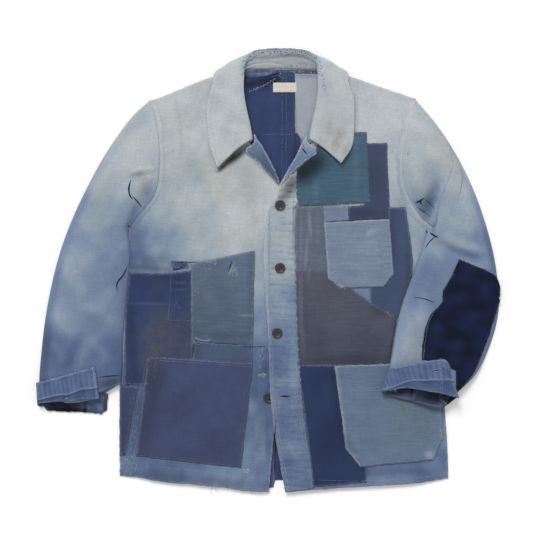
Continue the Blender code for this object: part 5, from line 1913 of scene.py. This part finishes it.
def build_strands(trees, colour, strands):
    """Lays all the loose yarns and the slits of painted shadow of one colour on the cloth beneath them."""
    points = []
    faces = []
    for path, width, tapers in strands:
        xs, ys = np.array(path).T
        low, _ = drop_on(trees, xs, ys)
        low = np.where(np.isnan(low), 0.0, low)
        low = np.maximum(low, np.maximum(np.r_[low[1:], low[-1]], np.r_[low[0], low[:-1]]) - STEEPEST)
        last = len(xs) - 1
        rings = []
        for k, (x, y, z) in enumerate(zip(xs, ys, low + 0.1)):
            before, after = max(k - 1, 0), min(k + 1, last)
            dx, dy = xs[after] - xs[before], ys[after] - ys[before]
            size = max(math.hypot(dx, dy), 1e-6)
            if tapers:
                thin = width * max(0.08, 0.5 * abs(math.sin(math.pi * k / last)) ** 0.6)
                high = 0.25
            else:
                thin = width * (0.5 if k < last else 0.2)
                high = 1.5 * thin
            sx, sy = -dy / size * thin, dx / size * thin
            rings.append([(x + sx, y + sy, z), (x - sx, y - sy, z), (x, y, z + high)])
        add_rod(points, faces, rings)
    add_object(f"loose_{colour}", points, faces, THREADS[colour], [])


def build_bars():
    """The threads that hold the buttons."""
    points = []
    faces = []
    for ax, ay, bx, by, height in BARS:
        size = math.hypot(bx - ax, by - ay)
        sx, sy = -(by - ay) / size * 0.3, (bx - ax) / size * 0.3
        row = ((ax, ay, height - 0.35), (ax, ay, height), (bx, by, height), (bx, by, height - 0.35))
        rings = [[(x + sx, y + sy, z), (x - sx, y - sy, z), (x, y, z + 0.35)] for x, y, z in row]
        add_rod(points, faces, rings)
    add_object("button_threads", points, faces, THREADS["dark"], [])


def build_threads():
    trees = trees_of(SURFACES)
    for colour, rows in STITCHES.items():
        if rows:
            build_stitches(trees, colour, rows)
    for colour, strands in STRANDS.items():
        if strands:
            build_strands(trees, colour, strands)
    build_bars()


# Rows of stitches round the patches
PATCH_STITCHES = (
    # name, thread, distance from the edge, pitch, length, share missing, loose yarns
    ("patch_right_breast", "blue", 2.4, 3.4, 2.2, 0.15, "blue"),
    ("patch_right_strip", "blue", 2.2, 3.4, 2.2, 0.2, None),
    ("patch_right_side", "blue", 2.4, 3.6, 2.2, 0.3, "blue"),
    ("patch_right_hip", "blue", 2.4, 3.2, 2.0, 0.1, "blue"),
    ("patch_right_hem", "blue", 2.4, 3.4, 2.2, 0.3, None),
    ("patch_left_teal", "dark", 2.0, 3.4, 2.0, 0.2, None),
    ("patch_left_plum", "blue", 2.2, 3.2, 2.0, 0.4, None),
    ("patch_left_tab", "pale", 2.0, 2.8, 1.8, 0.1, None),
    ("patch_left_grey", "pale", 2.0, 3.2, 1.9, 0.3, None),
    ("patch_left_side", "blue", 2.4, 3.4, 2.2, 0.2, None),
    ("patch_left_brown", "dark", 2.4, 3.4, 2.2, 0.35, None),
    ("patch_left_navy", "blue", 2.4, 3.2, 2.0, 0.2, None),
    ("chest_pocket", "white", 2.4, 2.8, 2.1, 0.15, "pale"),
    ("hip_pocket", "pale", 2.6, 2.8, 1.9, 0.05, "pale"),
    ("placket", "pale", 2.6, 2.8, 1.9, 0.05, None),
    ("lapel_right", "pale", 1.8, 2.6, 1.7, 0.2, "pale"),
    ("lapel_left", "pale", 1.8, 2.6, 1.7, 0.2, "pale"),
    ("elbow_patch", "blue", 2.6, 3.4, 2.0, 0.5, "pale"),
)


def sew_edges():
    """A row of stitches round each patch, a little in from its edge, and its frayed yarns."""
    for number, (name, colour, distance, pitch, length, missing, frayed) in enumerate(PATCH_STITCHES, 200):
        line = OUTLINES[name + "_cloth"]
        stitch_row(colour, inset(line, distance), pitch, length, closed=True, seed=number, missing=missing)
        if frayed:
            frays(frayed, line, 2.6, 2.0, number + 50, closed=True)


def beside(line, distance):
    """An open line moved to its left."""
    line = resample(line, 6.0, closed=False)
    moved = []
    for i, point in enumerate(line):
        along = (line[min(i + 1, len(line) - 1)] - line[max(i - 1, 0)]).normalized()
        moved.append(point + Vector((-along.y, along.x)) * distance)
    return moved


def sew_beside(right, left, further, pitch, length, missing, first_seed):
    """A near pale row and a further blue one beside the same line on both sides of the jacket."""
    for seed, (line, sign) in enumerate(((right, 1.0), (left, -1.0)), first_seed):
        for distance, colour in ((2.6, "pale"), (further, "blue")):
            stitch_row(colour, beside(line, sign * distance), pitch, length, seed=seed, missing=missing)


# Rows of stitches along the seams and hems, as points x, y
SEAM_ROWS = (
    # thread, pitch, length, share missing, points
    ("pale", 3.0, 2.0, 0.15, ((-13, 146), (-13, 60), (-14, -40), (-15, -130))),
    ("pale", 3.0, 2.0, 0.15, ((-2, 140), (-3, 60), (-4, -40), (-5, -130))),
    ("blue", 3.2, 2.1, 0.3, ((-16, -135), (-17, -250), (-19, -350))),
    ("pale", 2.8, 2.2, 0.1, ((-240, -318), (-205, -321.5), (-167, -326), (-105, -333), (-47, -341),
        (-22, -344))),
    ("pale", 3.0, 2.0, 0.2, ((78, -358), (160, -360), (240, -357), (304, -349))),
    ("pale", 3.0, 2.0, 0.3, ((-190, -335), (-159, -339), (-133, -341), (-74, -350), (-45, -353))),
    ("blue", 3.0, 2.0, 0.2, ((80, -368), (160, -371), (240, -368), (300, -361))),
    ("pale", 2.8, 1.8, 0.5, ((-153, 81), (-152, 40), (-153, 14))),
    ("pale", 2.8, 1.8, 0.55, ((-133, 80), (-133, 45), (-132, 12))),
    ("pale", 2.8, 2.0, 0.35, ((-165, -86), (-104, -88), (-29, -93.5))),
    ("blue", 2.8, 2.0, 0.1, ((-124, -101), (-89, -108), (-31, -108.5))),
    ("pale", 2.8, 2.0, 0.15, ((-187, -150), (-134, -154), (-80, -158.5), (-25, -162))),
    ("pale", 2.8, 2.0, 0.1, ((-187, -155), (-134, -158), (-95, -160.5), (-23, -166))),
    ("pale", 2.6, 1.8, 0.1, ((-165, -11), (-167, -50), (-170, -86))),
    ("pale", 2.2, 1.8, 0.1, ((-97, -9), (-108, -17), (-122, -24))),
    ("pale", 2.6, 1.8, 0.3, ((-190, -150), (-192, -170), (-193, -186))),
    ("pale", 2.4, 1.7, 0.2, ((-10, 314), (4, 314.5), (17, 314))),
    ("pale", 2.6, 1.8, 0.2, ((-210, -200), (-217, -258), (-229, -318))),
    ("pale", 2.6, 1.8, 0.3, ((-218, -204), (-228, -258), (-238, -316))),
    ("pale", 2.6, 1.8, 0.1, ((24, 330), (24, 240), (24, 152))),
    ("pale", 2.6, 1.8, 0.1, ((31, 330), (31, 240), (31, 150))),
    ("pale", 2.8, 1.8, 0.2, ((-10, 230), (20, 231), (48, 230))),
    ("white", 2.6, 1.9, 0.1, ((55, -163), (110, -162), (160, -163), (206, -165))),
    ("pale", 2.6, 1.8, 0.1, ((124, -200), (200, -202), (298, -201))),
    ("pale", 2.6, 1.8, 0.2, ((124, -204), (200, -206), (298, -205))),
    ("pale", 2.6, 1.7, 0.1, ((106, 66), (150, 65), (210, 70))),
    ("dark", 2.8, 1.9, 0.1, ((45, -368), (60, -369), (76, -370))),
)
# Rungs of stitches down the pale band beside the placket: y at the top, x at the top and bottom
LADDERS = ((142, -7.5, -8.5), (6, -8.5, -9.5))
LADDER_LENGTH = 134.0
POCKET_RUNGS = ((291, -236), (292, -284))    # and at the hip pocket's outer edge
# Mends of slanting stitches
ZIGZAGS = (
    # thread, pitch, reach, points
    ("white", 3.2, 6.5, ((-31, 304), (-10, 312), (12, 325))),
    ("pale", 3.0, 4.6, ((236, 280), (230, 256), (227, 229))),
    ("pale", 2.8, 4.2, ((212, 203), (218, 192), (223, 183))),
    ("white", 2.2, 5.0, ((-124, -116), (-111, -121), (-98, -120))),
    ("white", 2.4, 5.0, ((-57, 10), (-62, 2), (-66, -7))),
    ("white", 3.0, 4.0, ((286, 252), (280, 242))),
    ("pale", 2.6, 5.0, ((-219, -196), (-206, -194))),
    ("pale", 3.0, 3.6, ((-66, 13), (-60, 4), (-54, -4))),
)
# Worn places filled with parallel stitches
DARNS = (
    # thread, x, y, half width, half height, turn, stitches, length
    ("pale", -165, 108, 12, 15, -6, 34, 7.0),
    ("white", -53, 232, 7, 1.2, 0, 6, 5.0),
    ("white", -10, -180, 6, 4, 10, 34, 4.4),
    ("white", -36, -343, 6, 4, 0, 34, 4.0),
    ("pale", -228, -262, 48, 5, 82, 60, 3.0),
    ("dark", -227, -262, 48, 4, 82, 16, 3.4),
    ("pale", -236, -334, 16, 13, 84, 90, 4.4),
    ("blue", -236, -338, 16, 13, 84, 50, 4.4),
    ("blue", -16, -250, 100, 9, 88, 60, 13.0),
    ("pale", -12, -150, 17, 8, 90, 26, 11.0),
    ("pale", -122, -38, 7, 6, 20, 16, 4.0),
    ("pale", -58, -6, 5, 8, 60, 18, 6.0),
    ("white", -90, 12, 5, 3, 70, 7, 5.0),
    ("blue", -148, -22, 12, 4, 4, 7, 6.0),
    ("pale", 275, -316, 8, 7, -20, 22, 3.4),
    ("white", 126, -30, 8, 4, -44, 14, 3.0),
    ("white", 202, -18, 8, 4, 48, 12, 3.0),
    ("pale", 240, 196, 3, 4, 0, 10, 6.0),
    ("pale", 112, 214, 7, 14, 70, 10, 6.0),
    ("blue", -150, -60, 6, 14, 90, 12, 4.0),
    ("white", 226, 250, 5, 18, 10, 16, 4.0),
    ("pale", 100, -376, 12, 2, 0, 8, 3.0),
    ("blue", -70, -104, 30, 8, 5, 26, 4.0),
    ("pale", -110, 4, 12, 5, -10, 14, 4.0),
)
PLACKET_EDGE = (
    (50, 145), (45.5, 104), (45, 61), (48, -1), (49.5, -49), (51.5, -105), (54.5, -158), (57.5, -213),
    (63, -269), (72, -324), (77, -368),
)
PLACKET_MENDS = ((7, -128), (9, -200), (14, -246), (24, -310), (35, -374))
POCKET_MENDS = ((118.5, -168), (122, -200), (128, -240), (137, -301), (158, -329))


def sew_seams():
    for seed, (colour, pitch, length, missing, points) in enumerate(SEAM_ROWS, 300):
        line = resample(points, 5.0, closed=False)
        stitch_row(colour, line, pitch, length, seed=seed, missing=missing)
    sew_beside(ARMHOLE_RIGHT, ARMHOLE_LEFT, 7.5, 3.0, 2.0, 0.2, 340)
    zigzag("blue", beside(PLACKET_EDGE, -2.4), 2.0, 3.8, 350)
    stitch_row("pale", beside(PLACKET_EDGE, -6.5), 2.6, 1.8, seed=351, missing=0.2)
    zigzag("pale", PLACKET_MENDS, 2.0, 4.2, 348)
    zigzag("blue", POCKET_MENDS, 2.6, 3.8, 349)
    stitch_row("pale", POCKET_RUNGS, 4.4, 6.0, 0.5, seed=347, missing=0.2, lean=math.pi / 2)
    for seed, (y, x0, x1) in enumerate(LADDERS, 352):
        rungs = [(x0, y), (x1, y - LADDER_LENGTH)]
        stitch_row("pale", rungs, 3.3, 7.5, 0.55, seed=seed, missing=0.2, lean=math.pi / 2)
    for seed, (colour, pitch, reach, points) in enumerate(ZIGZAGS, 360):
        zigzag(colour, resample(points, 4.0, closed=False), pitch, reach, seed)
    for seed, row in enumerate(DARNS, 370):
        darn(*row, seed)


# The rows on the turned-up cuffs
CUFF_ROWS = (
    # thread, pitch, length, points
    ("pale", 2.4, 1.7, ((-391, -195), (-340, -181), (-296, -168.5))),
    ("pale", 2.4, 1.7, ((-390, -221), (-340, -210), (-292, -198))),
    ("blue", 2.6, 1.8, ((-389, -217), (-340, -206), (-293, -194))),
    ("pale", 2.2, 1.7, ((-297, -168), (-292, -196), (-290, -218))),
    ("pale", 2.2, 1.7, ((-301, -169), (-296, -195))),
    ("pale", 2.4, 1.7, ((209, -168), (234, -162), (260, -157.5), (290, -153), (303, -158), (310, -172),
        (314, -184))),
    ("pale", 2.4, 1.7, ((224, -194), (244, -190), (276, -184))),
    ("pale", 2.2, 1.6, ((256, -200), (249, -213), (244, -222))),
    ("pale", 2.2, 1.6, ((204, -213), (243, -221.5), (262, -226), (291, -232))),
    ("pale", 2.2, 1.6, ((-285, -224), (-284, -234), (-285, -243))),
    ("pale", 2.2, 1.6, ((-290, -226), (-289, -234), (-290, -243))),
    ("pale", 2.2, 1.7, ((277, -186), (300, -185.5), (315, -185))),
    ("blue", 2.2, 1.7, ((306, -188), (311, -200), (317, -214))),
    ("blue", 2.2, 1.7, ((310, -188), (315, -200), (320, -213))),
    ("blue", 2.4, 1.8, ((212, -172), (250, -163), (288, -158))),
    ("pale", 2.0, 2.4, ((198, -190), (203, -200), (208, -206))),
)


# Outer edge of each leaf, from the back of the neck to its front end
LEAF_RIGHT = ((-88, 332), (-102, 288), (-103, 247), (-98, 208), (-85.5, 172.5), (-60, 189), (-38, 206))
LEAF_LEFT = tuple((2 * NECK_X - x, y) for x, y in LEAF_RIGHT)
NECK_ROW = ((-30, 349), (-10, 353), (22, 354), (54, 353), (74, 349))


def sew_cuffs_and_collar():
    for seed, (colour, pitch, length, points) in enumerate(CUFF_ROWS, 400):
        stitch_row(colour, resample(points, 4.0, closed=False), pitch, length, seed=seed, missing=0.1)
    sew_beside(LEAF_RIGHT, LEAF_LEFT, 6.0, 2.8, 1.9, 0.25, 420)
    stitch_row("blue", NECK_ROW, 3.0, 2.0, seed=430, missing=0.3)


# Painted shadow in the folds' deep lines and in worn slits: x, y along each one; its width; its colour if not
# black
SHADOW_SLITS = (
    (((-233, 152.5), (-236.5, 137.7), (-235, 126.7), (-230, 118.5)), 3.2, "dark"),
    (((-231, 125), (-223, 116.6), (-214.7, 105.6)), 2.4, "dark"),
    (((-238.5, 76), (-237.5, 72)), 2.4),
    (((251, 113.5), (258, 117), (266, 121.5)), 4.0, "dark"),
    (((259, 118), (262, 110.5)), 3.4, "dark"),
    (((266, 121), (274, 114), (282, 105)), 1.3, "dark"),
    (((252.5, 107), (269, 96), (276, 90)), 1.2, "dark"),
    (((270.3, 66.5), (271.6, 61.5)), 2.8),
    (((274.5, 63), (284, 56.5), (289, 54)), 3.2, "dark"),
    (((284, 56.5), (278, 50.5), (273, 45), (267, 36)), 2.6, "dark"),
    (((246, -47), (262, -49), (284, -57)), 1.8, "dark"),
    (((-239.5, 6), (-246, -8), (-257, -24), (-256, -37)), 3.6, "dark"),
    (((-288, -183), (-268, -181), (-251, -180)), 2.2, "dark"),
    (((-165, 13.5), (-150, 12), (-139, 14)), 1.8),
    (((-140, 12), (-128, 12.5), (-118, 13)), 1.5),
    (((-163, -1), (-150, 2), (-141, 6)), 1.6),
    (((-50, -129), (-26, -131.5), (-2, -131)), 1.8, "dark"),
    (((-104, -124), (-76, -126), (-50, -128)), 1.1, "dark"),
    (((-126, -124), (-127, -138), (-130, -152)), 2.2, "dark"),
    (((-62, 16), (-64, 6), (-68, -4)), 1.8, "dark"),
    (((13, -252), (12, -300), (11, -352)), 1.8, "dark"),
    (((293, -167.5), (295.5, -167.3)), 2.6),
)


# Open buttonholes: x, y; turn; length; thread; gape
BUTTONHOLES = (
    (29, -215, 0.0, 16.0, None, 2.6),
    (62, 201, -50.0, 15.0, "pale", 2.2),
    (284, -170, 8.0, 19.0, "pale", 1.2),
)


def sew_buttonholes():
    for x, y in BUTTONS[:3]:
        buttonhole(x + 8.5, y + 0.5, 4.0, 9.0, "pale", 0.5)
    for row in BUTTONHOLES:
        buttonhole(*row)
    # Strands of painted shadow in the folds and slits
    for row in SHADOW_SLITS:
        shadow_slit(*row)


# Frayed edges
FRAYS = (
    # thread, pitch, length, seed, 1 where the yarns stick out to the right and -1 to the left, points
    ("pale", 3.2, 2.2, 440, 1, ((-88, 340), (-40, 372), (22, 378), (84, 372), (132, 340))),
    ("blue", 2.4, 2.6, 441, 1, ((-20, 372), (22, 376), (64, 372))),
    ("pale", 2.2, 4.0, 442, -1, ((147, 300), (147, 262))),
    ("pale", 2.0, 3.4, 443, -1, ((323, 18), (352, 6), (380, -5), (391, -13))),
    ("pale", 2.2, 2.6, 444, -1, ((262, -150), (266, -118), (270, -92), (282, -68), (297, -52))),
    ("pale", 3.0, 2.6, 445, 1, ((-245, -351), (-160, -366), (-100, -371), (-30, -377))),
    ("pale", 3.4, 2.0, 446, 1, ((80, -377), (180, -378), (300, -356))),
    ("pale", 1.6, 2.6, 447, -1, ((290, -150), (303, -156), (311, -170), (317, -188))),
    ("pale", 1.8, 3.0, 452, 1, ((-126, -123), (-90, -127), (-50, -129), (-2, -131))),
    ("blue", 1.6, 3.4, 453, -1, ((-130, -124), (-131, -150))),
    ("pale", 1.4, 3.6, 454, -1, ((46, 233), (54, 226), (57, 214))),
    ("dark", 1.6, 4.0, 455, -1, ((46, 233), (54, 226), (57, 214), (62, 206))),
    ("blue", 1.4, 5.0, 448, 1, ((-163, 14), (-148, 10), (-131, 11))),
    ("pale", 1.8, 5.0, 449, -1, ((-160, 6), (-148, 1), (-132, 2))),
    ("white", 1.8, 4.5, 450, 1, ((12, 343), (40, 341), (70, 339), (85, 338))),
    ("pale", 2.2, 4.0, 451, -1, ((12, 340), (50, 337), (84, 334))),
)
# Threads that hang loose
LOOSE = (
    ((-98, -368), (-95, -376), (-98, -382), (-93, -386)),
    ((-88, -369), (-90, -377), (-84, -381)),
    ((-31, -376), (-28, -383), (-23, -384)),
    ((14, 341), (22, 336), (20, 330), (28, 326)),
    ((40, 340), (47, 334), (58, 336), (64, 330)),
    ((70, 338), (76, 331), (73, 326)),
    ((-128, -120), (-120, -128), (-112, -124)),
    ((296, -222), (302, -230), (298, -236), (305, -239)),
    ((250, 180), (256, 172), (253, 164)),
)


def fray_edges():
    for colour, pitch, length, seed, out, points in FRAYS:
        frays(colour, points, pitch, length, seed, out=out)
    for points in LOOSE:
        strand("pale", points, 1.6, 0.5, False)


# Floor, light and camera -------------------------------------------------------------------------


FLOOR_REACH = 3.0      # metres
FLOOR_LIFT = 0.13      # how much the floor glows where the camera sees it
SUN_STRENGTH = 1.85
SUN_ANGLE = 22.0       # degrees: the softness of its shadows
TO_SUN = (-0.22, 0.62, 0.75)
SKY_STRENGTH = 0.55    # as light; the camera sees a white sky
CAMERA_HEIGHT = 2.18
CAMERA_AIM = (0.0034, -0.00085)
CAMERA_LENS = 85.0
SENSOR_WIDTH = 36.0


def seen(tree):
    """1 for rays that come from the camera, straight or by a mirror, and 0 for all others."""
    ray = tree.nodes.new("ShaderNodeLightPath")
    either = tree.nodes.new("ShaderNodeMath")
    either.operation = "MAXIMUM"
    tree.links.new(ray.outputs["Is Camera Ray"], either.inputs[0])
    tree.links.new(ray.outputs["Is Glossy Ray"], either.inputs[1])
    return either.outputs[0]


def build_floor():
    mesh = bpy.data.meshes.new("floor")
    corners = [(sx * FLOOR_REACH, sy * FLOOR_REACH, 0.0) for sx, sy in ((-1, -1), (1, -1), (1, 1), (-1, 1))]
    mesh.from_pydata(corners, [], [(0, 1, 2, 3)])
    floor = bpy.data.objects.new("floor", mesh)
    bpy.context.scene.collection.objects.link(floor)
    material = bpy.data.materials.new("floor_white")
    material.use_nodes = True
    tree = material.node_tree
    shader = tree.nodes["Principled BSDF"]
    set_inputs(shader, {
        "Base Color": (0.9, 0.9, 0.9, 1.0), "Roughness": 1.0, "Specular IOR Level": 0.0,
        "Emission Color": (1.0, 1.0, 1.0, 1.0),
    })
    strength = tree.nodes.new("ShaderNodeMath")
    strength.operation = "MULTIPLY"
    tree.links.new(seen(tree), strength.inputs[0])
    strength.inputs[1].default_value = FLOOR_LIFT
    tree.links.new(strength.outputs[0], shader.inputs["Emission Strength"])
    mesh.materials.append(material)


def build_light():
    world = bpy.data.worlds.new("sky")
    world.use_nodes = True
    tree = world.node_tree
    background = tree.nodes["Background"]
    background.inputs["Color"].default_value = (1.0, 1.0, 1.0, 1.0)
    strength = tree.nodes.new("ShaderNodeMath")
    strength.operation = "MULTIPLY_ADD"
    strength.inputs[1].default_value = 1.0 - SKY_STRENGTH
    strength.inputs[2].default_value = SKY_STRENGTH
    tree.links.new(seen(tree), strength.inputs[0])
    tree.links.new(strength.outputs[0], background.inputs["Strength"])
    bpy.context.scene.world = world
    lamp = bpy.data.lights.new("sun", "SUN")
    lamp.energy = SUN_STRENGTH
    lamp.angle = math.radians(SUN_ANGLE)
    sun = bpy.data.objects.new("sun", lamp)
    bpy.context.scene.collection.objects.link(sun)
    sun.rotation_euler = Vector(TO_SUN).to_track_quat("Z", "Y").to_euler()


def build_camera():
    lens = bpy.data.cameras.new("camera")
    lens.type = "PERSP"
    lens.lens = CAMERA_LENS
    lens.sensor_width = SENSOR_WIDTH
    lens.clip_start = 0.05
    camera = bpy.data.objects.new("camera", lens)
    camera.location = (*CAMERA_AIM, CAMERA_HEIGHT)
    bpy.context.scene.collection.objects.link(camera)
    bpy.context.scene.camera = camera
    bpy.context.scene.view_settings.view_transform = "Standard"


build_body()
build_patches()
build_facings()
build_inside()
build_collar()
build_sleeves()
build_cuffs()
build_elbow()
build_buttons()
sew_edges()
sew_seams()
sew_cuffs_and_collar()
sew_buttonholes()
fray_edges()
build_threads()
build_floor()
build_light()
build_camera()
